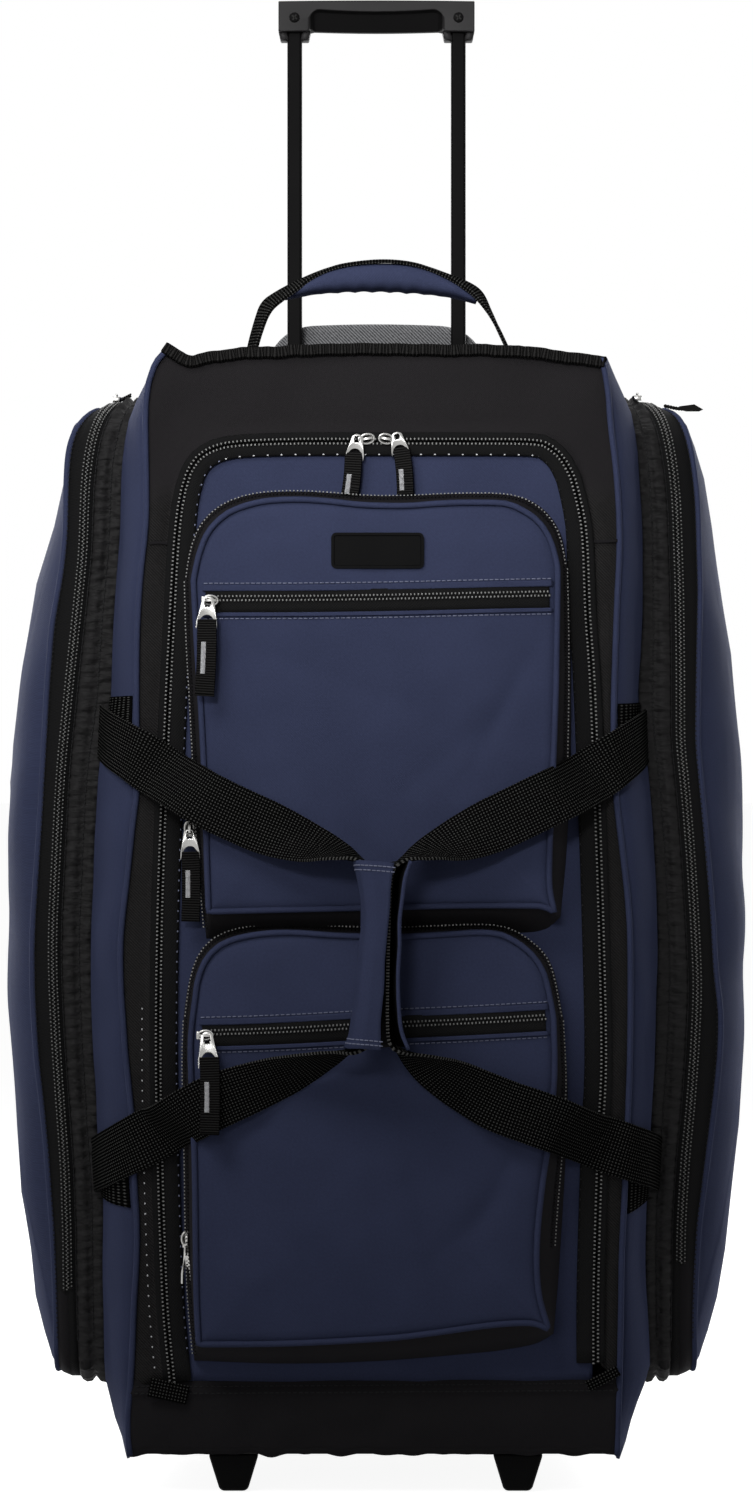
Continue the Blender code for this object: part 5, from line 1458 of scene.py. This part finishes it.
# faces under the rail take the recess finish as painted shade; upward faces take it to paint out their highlight
for face in grip.faces:
    spot = face.calc_center_median()
    under = abs(spot.x) < 0.0485 and spot.z < gripHigh.z - gripLook["rail"] - 0.0002
    face.material_index = int(under or face.normal.z > 0.7)
gripParts = [grip]
tubeX = backLook["tubeX"]
for tube in (-tubeX, tubeX):
    for side in (-1, 1):
        clip = block(*gripLook["clip"], 0.0008, 2)
        for vert in clip.verts:
            if vert.co.z < 0:
                vert.co.x -= side * 0.0012
        moveAll(clip, (tube + side * 0.0088, gripMiddle, gripHigh.z - gripLook["blockLow"] - 0.0030))
        gripParts.append(clip)
gripPiece = addPiece(
    "trolleyGrip", joined(gripParts), "plastic", "trolley", ("trolley_grip",), sharp=35, more=("recess",)
)
easeEdges(gripPiece, gripLook["bevel"], 35)
screwLook = {
    "radius": (0.0040, 0.0036), "thick": 0.0012, "drop": 0.0128, "turn": 0.6, "cross": (0.0048, 0.0006, 0.0010),
}
for key, x in (("left", -tubeX), ("right", tubeX)):
    head = bmesh.new()
    wide, narrow = screwLook["radius"]
    bmesh.ops.create_cone(head, cap_ends=True, segments=24, radius1=wide, radius2=narrow, depth=screwLook["thick"])
    bevelAll(head, head.edges[:], 0.0003)
    turnAll(head, math.pi / 2, "X")
    spot = Vector((x, gripMiddle - gripLook["deep"] - 0.0003, gripHigh.z - screwLook["drop"]))
    moveAll(head, spot)
    addPiece("gripScrew" + key.title(), head, "recess", "trolley", ("grip_screw_" + key,), sharp=40)
    bars = []
    for turn in (screwLook["turn"], screwLook["turn"] + math.pi / 2):
        bar = block(*screwLook["cross"], 0.0001)
        turnAll(bar, turn, "Y")
        moveAll(bar, spot + Vector((0, -0.0006, 0)))
        bars.append(bar)
    addPiece("gripScrewCross" + key.title(), joined(bars), "board", "trolley", sharp=40)

# the front feet: tapered blocks with rounded lower corners
footLook = {
    "x": {"left": -0.0985, "right": 0.0975}, "top": 0.0352, "bottom": 0.0190, "deep": 0.034, "bevel": 0.0032,
}
for key, x in footLook["x"].items():
    low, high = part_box("front_foot_" + key)
    foot = bmesh.new()
    bmesh.ops.create_cube(foot, size=1.0)
    for vert in foot.verts:
        wide = footLook["top"] if vert.co.z > 0 else footLook["bottom"]
        deep = footLook["deep"] * (1.0 if vert.co.z > 0 else 0.7)
        vert.co = (x + vert.co.x * wide, (low.y + high.y) / 2 + vert.co.y * deep, high.z * (vert.co.z + 0.5) + 0.0004)
    bevelAll(foot, foot.edges[:], footLook["bevel"], 4)
    addPiece("frontFoot" + key.title(), foot, "rubber", "bag", ("front_foot_" + key,), sharp=50)

# the wheels: a ribbed tyre on a spoked hub
wheelLook = {"radius": 0.034, "half": 0.012, "spokes": 6, "tyreSteps": 64, "hubSteps": 48}


def turned(section, steps):
    # a closed section spun round the axle
    bm = bmesh.new()
    ring = [bm.verts.new((x, 0, z)) for x, z in section]
    edges = [bm.edges.new(pair) for pair in zip(ring, ring[1:] + ring[:1])]
    bmesh.ops.spin(
        bm, geom=ring + edges, cent=(0, 0, 0), axis=(1, 0, 0), angle=math.tau, steps=steps, use_merge=True
    )
    bmesh.ops.recalc_face_normals(bm, faces=bm.faces)
    return bm


for key in ("left", "right"):
    low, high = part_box("wheel_" + key)
    centre = (low + high) / 2
    r, h = wheelLook["radius"], wheelLook["half"]
    tyre = turned([
        (-h, r - 0.011), (-h, r - 0.004), (-h + 0.002, r - 0.0012), (-h + 0.005, r), (-0.003, r), (-0.0022, r - 0.0012),
        (0.0022, r - 0.0012), (0.003, r), (h - 0.005, r), (h - 0.002, r - 0.0012), (h, r - 0.004), (h, r - 0.011),
    ], wheelLook["tyreSteps"])
    moveAll(tyre, centre)
    addPiece("tyre" + key.title(), tyre, "tread", key + "_wheel", ("wheel_" + key,), sharp=35)
    rim = r - 0.0105
    hub = turned([
        (-0.010, rim), (-0.010, rim - 0.0025), (-0.003, rim - 0.004), (-0.003, 0.009), (-0.011, 0.0085),
        (-0.011, 0.0042), (0.011, 0.0042), (0.011, 0.0085), (0.003, 0.009), (0.003, rim - 0.004),
        (0.010, rim - 0.0025), (0.010, rim),
    ], wheelLook["hubSteps"])
    parts = [hub]
    for i in range(wheelLook["spokes"]):
        spoke = block(0.015, 0.0034, rim - 0.010, 0.0006, 1, (0, 0, (rim + 0.006) / 2))
        turnAll(spoke, math.tau * i / wheelLook["spokes"], "X")
        parts.append(spoke)
    hubs = joined(parts)
    moveAll(hubs, centre)
    addPiece("hub" + key.title(), hubs, "plastic", key + "_wheel", sharp=35)

# solids that stay as they are, with a better finish
kept = {"back_board": "board", "base_board": "board", "trolley_guide": "plastic", "trolley_bracket": "plastic"}
for key in ("left", "right"):
    kept.update({"outer_tube_" + key: "tube", "inner_tube_" + key: "tube"})
    kept.update({"wheel_axle_" + key: "steel", "wheel_housing_" + key: "plastic"})
for node, finish in kept.items():
    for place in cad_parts[node].material_slots:
        place.material = finishes[finish]
print("trolley, feet and wheels built")

# zip sliders with their forked pulls and ribbed tapes
pullLook = {
    "mainZipLeft": {
        "slider": (367, 438), "turn": 80, "fork": ((358, 433), (354, 459)), "tape": ((353.5, 452), (349.5, 496)),
        "y": -0.1040, "tilt": 0.0008, "wide": 0.0122, "bar": (474, 493),
        "bodies": ("main_left_slider", "main_left_pull"), "stem": "main_zip_left",
    },
    "mainZipRight": {
        "slider": (386, 438), "turn": -80, "fork": ((396, 431), (401, 454)), "tape": ((401.5, 447), (405.5, 494)),
        "y": -0.1040, "tilt": 0.0008, "wide": 0.0118, "bar": (470, 490),
        "bodies": ("main_right_slider", "main_right_pull"), "stem": "main_zip_right",
    },
    "upperSlash": {
        "slider": (210, 600), "turn": 90, "fork": ((208, 595), (206, 629)), "tape": ((206.5, 619), (204, 696)),
        "y": -0.1410, "tilt": 0.0030, "wide": 0.0136, "bar": (643, 673),
        "bodies": ("upper_slider", "upper_pull"), "stem": "upper_pocket",
    },
    "lowerSlash": {
        "slider": (205, 1036), "turn": 90, "fork": ((206, 1032), (209, 1068)), "tape": ((209, 1058), (209, 1136)),
        "y": -0.1430, "tilt": 0.0080, "wide": 0.0136, "bar": (1084, 1114),
        "bodies": ("lower_slider", "lower_pull"), "stem": "lower_pocket",
    },
    "upperGusset": {
        "slider": (189, 828), "turn": 0, "fork": ((189, 828), (190, 860)), "tape": ((190, 852), (190, 922)),
        "y": -0.1110, "tilt": 0.0015, "wide": 0.0130, "bar": (872, 898),
        "bodies": ("upper_gusset", "upper_gusset"), "stem": "upper_gusset",
    },
    "lowerGusset": {
        "slider": (186, 1240), "turn": 0, "fork": ((186, 1243), (186, 1285)), "tape": None,
        "y": -0.1110, "tilt": 0.0015, "wide": 0.0052, "bar": None,
        "bodies": ("lower_gusset", "lower_gusset"), "stem": "lower_gusset",
    },
    "forkWall": 0.0014, "tapeThick": 0.0020,
}
sliderLook = {
    "rim": (0.0031, 0.0047), "wire": 0.0010, "plate": (0.0036, 0.0010, 0.0052), "heel": (0.0056, 0.0030, 0.0024),
    "bridge": [(-0.0008, 0.0042), (-0.0028, 0.0032), (-0.0034, 0.0), (-0.0028, -0.0030), (-0.0008, -0.0042)],
}


def sliderShape(spot, turn):
    # an oval plate with a raised rim, and a bridge over it
    wide, tall = sliderLook["rim"]
    angles = [math.tau * i / 32 for i in range(32)]
    rim = [Vector((wide * math.cos(angle), -0.0006, tall * math.sin(angle))) for angle in angles]
    parts = [roundCord(sliderLook["wire"], rim, closed=True)]
    plate = bmesh.new()
    bmesh.ops.create_uvsphere(plate, u_segments=28, v_segments=14, radius=1.0)
    bmesh.ops.scale(plate, vec=sliderLook["plate"], verts=plate.verts)
    moveAll(plate, (0, 0.0006, 0))
    for face in plate.faces:
        face.material_index = 1
    parts.append(plate)
    bridge = smoothLine([(0, y, z) for y, z in sliderLook["bridge"]], 17)
    parts.append(ribbon(0.0018, 0.0010, bridge, Vector((0, -1, 0.001))))
    parts.append(block(*sliderLook["heel"], 0.0006, 2, (0, 0.0006, -0.0050)))
    whole = joined(parts)
    place = Matrix.Translation(spot) @ Matrix.Rotation(math.radians(turn), 4, "Y")
    bmesh.ops.transform(whole, matrix=place, verts=whole.verts)
    return whole


def forkShape(top, foot, wide):
    # a plate with a hole, drawn out into two legs with an arch between them
    way = foot - top
    reach = way.length
    across = Vector((way.z, 0, -way.x)).normalized()
    if across.x < 0:
        across = -across

    def forkPoint(u, v):
        side = 2 * u - 1
        drop = reach * (0.58 + 0.42 * abs(side) ** 2.6)
        half = wide / 2 * (0.62 + 0.38 * min(v * 1.25, 1.0))
        shoulder = 0.10 * reach * (side * side) * (1 - v)
        spot = top + way.normalized() * (drop * v + shoulder) + across * side * half
        spot.y -= 0.0010 * math.sin(math.pi * v)
        return spot

    fork = clothGrid(14, 14, forkPoint, (wide, reach))
    gone = []
    for face in fork.faces:
        spot = face.calc_center_median() - top
        side, down = spot.dot(across) / wide, spot.dot(way.normalized()) / reach
        if abs(side) < 0.15 and 0.10 < down < 0.34:
            gone.append(face)
    bmesh.ops.delete(fork, geom=gone, context="FACES")
    facing = sum((face.normal for face in fork.faces), Vector())
    if facing.y > 0:
        bmesh.ops.reverse_faces(fork, faces=fork.faces)
    return fork


threads = {}  # small stitches by body and thread


def addStitches(body, thread, path, pitch, size):
    # stitches at an even pitch along a path
    count = max(int(lineLength(path) / pitch), 2)
    seats = framesAlong(evenly(path, 2 * count + 1), forward)[::2]
    threads.setdefault((body, thread), []).append(stamp(block(*size, size[1] * 0.3), seats))


for name, look in pullLook.items():
    if not isinstance(look, dict):
        continue
    sliderBody, pullBody = look["bodies"]
    swings = sliderBody != pullBody  # a pull with its own joint stands for solids of its own
    forkNodes, tapeNodes = ((look["stem"] + end,) if swings else () for end in ("_pull", "_pull_tape"))
    slider = sliderShape(seen(*look["slider"], look["y"] + 0.0012), look["turn"])
    addPiece(name + "Slider", slider, "nickel", sliderBody, (look["stem"] + "_slider",), sharp=40, more=("recess",))
    top, foot = (seen(*pixel, look["y"] - 0.0014) for pixel in look["fork"])
    foot.y -= look["tilt"]
    fork = forkShape(top, foot, look["wide"])
    piece = addPiece(name + "Fork", fork, "nickel", pullBody, forkNodes, wall=pullLook["forkWall"])
    easeEdges(piece, 0.0004, 30)
    if look["tape"]:
        high, low = (seen(*pixel, look["y"] - 0.0012 - look["tilt"]) for pixel in look["tape"])
        high.y += 0.0006
        bow = high.lerp(low, 0.5) + Vector((0.0006, -0.0010, 0))
        line = smoothLine([high, bow, low], 41)
        tape = ribbon(look["wide"] * 0.98, pullLook["tapeThick"], line)
        hem = shifted(smoothLine([line[30], line[35], line[39]], 9), 0, -0.0012, 0)
        tape = joined([tape, ribbon(look["wide"] * 0.96, tapeWall, hem)])
        addPiece(name + "Tape", tape, "grosgrain", pullBody, tapeNodes, sharp=60)
        first, last = ((py - look["tape"][0][1]) / (look["tape"][1][1] - look["tape"][0][1]) for py in look["bar"])
        bar = shifted(line[int(first * 40): int(last * 40) + 1], -0.0022, -0.0016, 0)
        addStitches(pullBody, "whiteThread", evenly(bar, 31), 0.0008, (0.0034, 0.0009, 0.0006))

# the side pockets' pulls: a twisted cord at the left, a flat arrow on a cord at the right
sidePullLook = {
    "left": {
        "cord": [(113, 402), (118, 400), (124, 397.5), (130, 394.5)], "ahead": -0.008, "back": -0.020, "strand": 0.0008,
        "arrow": None,
    },
    "right": {
        "cord": [(665, 405), (670, 406), (677, 407.5), (688, 408.5)], "ahead": 0.034, "back": 0.010, "strand": 0.0007,
        "arrow": [(680, 405.5), (695, 403.5), (704, 408.7), (700, 410.6), (687, 410.6), (678, 408)],
    },
}
for key, look in sidePullLook.items():
    low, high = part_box("side_slider_" + key)
    y = (low.y + high.y) / 2 - look["ahead"]
    body = "side_slider_body_" + key
    line = smoothLine(seenLine(look["cord"], y), 65)
    parts = []
    for turn in (0.0, math.pi):
        turns = [Vector((0, math.cos(i * 0.42 + turn), math.sin(i * 0.42 + turn))) for i in range(len(line))]
        strand = [point + out * look["strand"] for point, out in zip(line, turns)]
        parts.append(roundCord(look["strand"], strand, Vector((0, -1, 0.1)), sides=6))
    if look["arrow"]:
        tab = bmesh.new()
        face = tab.faces.new([tab.verts.new(spot) for spot in seenLine(look["arrow"], y)])
        if face.normal.y > 0:
            bmesh.ops.reverse_faces(tab, faces=tab.faces)
        parts.append(tab)
        grown = bmesh.ops.extrude_face_region(tab, geom=tab.faces[:])["geom"]
        bmesh.ops.translate(tab, vec=(0, -0.0014, 0), verts=only(BMVert, grown))
        bmesh.ops.recalc_face_normals(tab, faces=tab.faces)
    addPiece("sidePull" + key.title(), joined(parts), "grosgrain", body, sharp=60)
    slider = sliderShape(Vector((0, 0, 0)), 0)
    spot = (low + high) / 2
    lay = Matrix.Translation((spot.x, y + look["back"], high.z + 0.0030)) @ Matrix.Rotation(-math.pi / 2, 4, "X")
    bmesh.ops.transform(slider, matrix=lay, verts=slider.verts)
    addPiece("sideSlider" + key.title(), slider, "nickel", body, ("side_slider_" + key,), sharp=40, more=("recess",))

# the bare patch with a raised border
patchLook = {"left": 331, "right": 424, "top": 532, "bottom": 568, "border": 0.0022, "thick": 0.0022, "round": 0.0035}
corner = [seen(patchLook["left"], patchLook["bottom"], pocketY), seen(patchLook["right"], patchLook["top"], pocketY)]
wide, tall = corner[1].x - corner[0].x, corner[1].z - corner[0].z
patch = bmesh.new()
bmesh.ops.create_grid(patch, x_segments=1, y_segments=1, size=0.5)
bmesh.ops.scale(patch, vec=(wide, tall, 1), verts=patch.verts)
bevelAll(patch, patch.verts[:], patchLook["round"], 4, "VERTICES")
rim = bmesh.ops.extrude_face_region(patch, geom=patch.faces[:])["geom"]
bmesh.ops.translate(patch, vec=(0, 0, patchLook["thick"]), verts=only(BMVert, rim))
for inset, sink in ((0.0006, 0.0), (patchLook["border"] * 0.55, 0.0), (0.0005, -0.0009)):
    bmesh.ops.inset_region(patch, faces=only(BMFace, rim), thickness=inset, depth=sink)
bmesh.ops.recalc_face_normals(patch, faces=patch.faces)
bmesh.ops.subdivide_edges(patch, edges=[edge for edge in patch.edges if edge.calc_length() > 0.02], cuts=9)
turnAll(patch, math.pi / 2, "X")
centre = (corner[0] + corner[1]) / 2
for vert in patch.verts:
    x, z = vert.co.x + centre.x, vert.co.z + centre.z
    vert.co = (x, onPocket["upper"](x, centre.z + (z - centre.z) * 0.2).y + vert.co.y - 0.0004, z)
addPiece("blankPatch", patch, "rubber", "flap", ("blank_patch",), sharp=35)

# webbing tabs over the zip's ends, and patches where the straps are sewn in
tabLook = {
    "zipTabLeft": ("bag", [(170, 1384), (168, 1393), (166, 1402)], 0.0270, -0.1045),
    "zipTabRight": ("bag", [(588, 1388), (604, 1380), (619, 1372)], 0.0075, -0.1045),
}
for name, (body, pixels, width, y) in tabLook.items():
    line = smoothLine(seenLine(pixels, y), 13)
    tab = ribbon(width, 0.0024, line, Vector((0, -1, -0.15)))
    addPiece(name, tab, "webbing", body, sharp=60)
anchorLook = {  # side, rows of the upper edge and of the lower edge, from the side pocket to the front
    "LeftUpper": (-1, (697, 696), (738, 727)), "LeftLower": (-1, (1172, 1158), (1200, 1206)),
    "RightUpper": (1, (702, 704), (738, 748)), "RightLower": (1, (1182, 1168), (1199, 1212)),
}
for key, (side, upper, lower) in anchorLook.items():

    def anchorPoint(u, v):
        row = lower[0] + (lower[1] - lower[0]) * u
        row += (upper[0] + (upper[1] - upper[0]) * u - row) * v
        share = bodyLook["flareShare"] * (1 - 0.92 * u)
        return onGusset(side, seen(0, row, -0.075).z, share) + Vector((side * 0.0009, -0.0009, 0))

    patch = clothGrid(12, 12, anchorPoint, (0.018, 0.03))
    if side > 0:
        bmesh.ops.reverse_faces(patch, faces=patch.faces)
    addPiece("strapAnchor" + key, patch, "webbing", "bag", wall=0.0008)

# stitching: the sizes of a stitch, and the pitch along each seam
stitchLook = {
    "dot": (0.0009, 0.0007, 0.0013), "dash": (0.0008, 0.0006, 0.0026), "slash": 0.0036, "flapTop": 0.0095,
    "flapSide": 0.0069, "base": 0.0040, "ruched": 0.0030, "lid": 0.0034, "wrap": 0.0030,
    "baseRows": (0.0, 0.0042), "baseAt": 0.92, "wrapRows": (0.028, 0.062, 0.940, 0.972),
}
dot, dash = stitchLook["dot"], stitchLook["dash"]
for path in pocketPaths.values():
    addStitches("flap", "navyThread", path, stitchLook["slash"], dash)
edgeIn = []
for i in range(archSteps + 1):
    spot = besideZip(i, -tapeHalf(i, -1) + 0.0008, frontY)
    spot.y = min(onFlap(spot.x, spot.z).y - 0.0022, frontY - 0.0036) - 0.0006
    edgeIn.append(spot)
edgeOut = [besideZip(i, 0.0112, frontY - 0.0036) for i in range(archSteps + 1)]
onTop = archCounts[0] + 5, archCounts[0] + archCounts[1] - 5
# the one stitch row round the flap's edge is drawn in three colours that follow the light: white across the top, navy
# down the left and dark down the right, as painted highlight and painted shade
addStitches("flap", "whiteThread", edgeIn[onTop[0]: onTop[1]], stitchLook["flapTop"], dot)
addStitches("flap", "navyThread", edgeIn[2: onTop[0]], stitchLook["flapSide"], dot)
addStitches("flap", "darkThread", edgeIn[onTop[1]: -2], stitchLook["flapSide"], dot)
addStitches("bag", "whiteThread", edgeOut[1:24], stitchLook["flapSide"], dot)
for shift in stitchLook["baseRows"]:
    high = stitchLook["baseAt"] - shift / baseLook["size"][1]
    seam = [basePoint(0.015 + 0.97 * i / 60, high) + Vector((0, -0.0006, 0)) for i in range(61)]
    addStitches("bag", "darkThread", seam, stitchLook["base"], dash)
for key, paths in sidePaths.items():
    for ring in (0, 4, 8):
        line = [point for point in paths["ruched"][ring] if point.y < 0.0 and point.z > 0.10]
        addStitches("bag", "darkThread", shifted(line, 0, -0.0008, 0), stitchLook["ruched"], dash)
    hem = [point + Vector((0, -0.0018, 0)) for point in paths["hem"] if point.y < 0.0 and point.z > 0.10]
    addStitches("side_pocket_lid_" + key, "darkThread", hem, stitchLook["lid"], dot)
for row in stitchLook["wrapRows"]:
    hem = shifted([wrapPoint(i / 60, row) for i in range(20)], 0, -0.0004, 0)
    addStitches("strap_left", "navyThread", evenly(hem, 40), stitchLook["wrap"], dash)
yokeLook = {"left": [(149, 543), (158, 542), (168, 543)], "right": [(594, 541), (606, 541), (618, 540)]}
for key, pixels in yokeLook.items():
    line = smoothLine(seenLine(pixels, frontY - 0.0022), 15)
    addPiece("yokeSeam" + key.title(), ribbon(0.0022, 0.0016, line), "blackCloth", "bag")
for (body, thread), rows in threads.items():
    addPiece(thread + "On" + "".join(part.title() for part in body.split("_")), joined(rows), thread, body, sharp=50)
print("pulls, patch and stitching built")

# camera, lights and floor
camera = bpy.data.objects.new("camera", bpy.data.cameras.new("camera"))
bpy.context.collection.objects.link(camera)
camera.data.sensor_fit, camera.data.sensor_height = "VERTICAL", 36
camera.data.lens = 36 * view["distance"] / (view["pixel"] * (view["rows"] + 4))
camera.location = (0, frontY - view["distance"], view["height"])
camera.rotation_euler = (math.pi / 2, 0, 0)
bpy.context.scene.camera = camera

lampLook = {
    "keyLamp": {"at": (-0.9, -1.5, 2.15), "to": (0, -0.1, 0.6), "size": 0.9, "watts": 18},
    "fillLamp": {"at": (-1.2, -2.9, 0.9), "to": (0, 0, 0.5), "size": 1.6, "watts": 7},
    "leftLamp": {"at": (-1.5, 1.7, 0.9), "to": (0, 0.05, 0.4), "size": 1.2, "watts": 44},
    "rightLamp": {"at": (1.5, 1.7, 0.9), "to": (0, 0.05, 0.4), "size": 1.2, "watts": 46},
    "topLamp": {"at": (0.2, 0.9, 2.3), "to": (0, 0.1, 0.8), "size": 1.2, "watts": 10},
    "spotLamp": {"at": (-0.4, -2.6, 1.45), "to": (0, -0.1, 0.86), "cone": 22, "soft": 0.35, "watts": 250},
}
for name, look in lampLook.items():
    lamp = bpy.data.lights.new(name, "SPOT" if "cone" in look else "AREA")
    lamp.energy = look["watts"]
    if "cone" in look:
        lamp.spot_size, lamp.spot_blend, lamp.shadow_soft_size = math.radians(look["cone"]), 1.0, look["soft"]
    else:
        lamp.size = look["size"]
    holder = bpy.data.objects.new(name, lamp)
    holder.location = look["at"]
    holder.rotation_euler = (Vector(look["to"]) - Vector(look["at"])).to_track_quat("-Z", "Y").to_euler()
    bpy.context.collection.objects.link(holder)

stageLook = {"dim": 0.12, "glow": 0.92, "floor": 40.0, "grey": (0.4, 0.4, 0.4, 1)}


def seenShare(nodes):
    # 1 for what the camera sees straight, in a reflection or through glass
    share = nodes.node("ShaderNodeLightPath", output="Is Camera Ray")
    for name in ("Is Glossy Ray", "Is Transmission Ray"):
        share = share.larger(nodes.node("ShaderNodeLightPath", output=name))
    return share


world = bpy.data.worlds.new("studio")
world.use_nodes = True
sky = Nodes(world.node_tree)
backdrop = sky.tree.nodes["Background"]
backdrop.inputs["Color"].default_value = (1, 1, 1, 1)
backdrop.inputs["Strength"].default_value = stageLook["dim"]
dim = Wire(sky, backdrop.outputs[0])
bright = sky.node("ShaderNodeBackground", None, {"Color": (1, 1, 1, 1), "Strength": 1.0})
sky.show(sky.node("ShaderNodeMixShader", None, {0: seenShare(sky), 1: dim, 2: bright}), "World Output")
bpy.context.scene.world = world

floorSheet = bmesh.new()
bmesh.ops.create_grid(floorSheet, x_segments=2, y_segments=2, size=stageLook["floor"])
floorMesh = bpy.data.meshes.new("floor")
floorSheet.to_mesh(floorMesh)
floorSheet.free()
floor = bpy.data.objects.new("floor", floorMesh)
bpy.context.collection.objects.link(floor)
ground = Finish("ground", {"Roughness": 0.9, "Base Color": stageLook["grey"], "Specular IOR Level": 0.0})
glow = ground.node("ShaderNodeEmission", None, {"Strength": stageLook["glow"]})
glow = ground.node("ShaderNodeMixShader", None, {0: seenShare(ground), 2: glow})  # lights nothing, and is only seen
plain = Wire(ground, ground.shader.outputs[0])
ground.show(ground.node("ShaderNodeAddShader", None, {0: plain, 1: glow}), "Material Output")
floorMesh.materials.append(ground.material)
bpy.context.scene.view_settings.view_transform = "Standard"
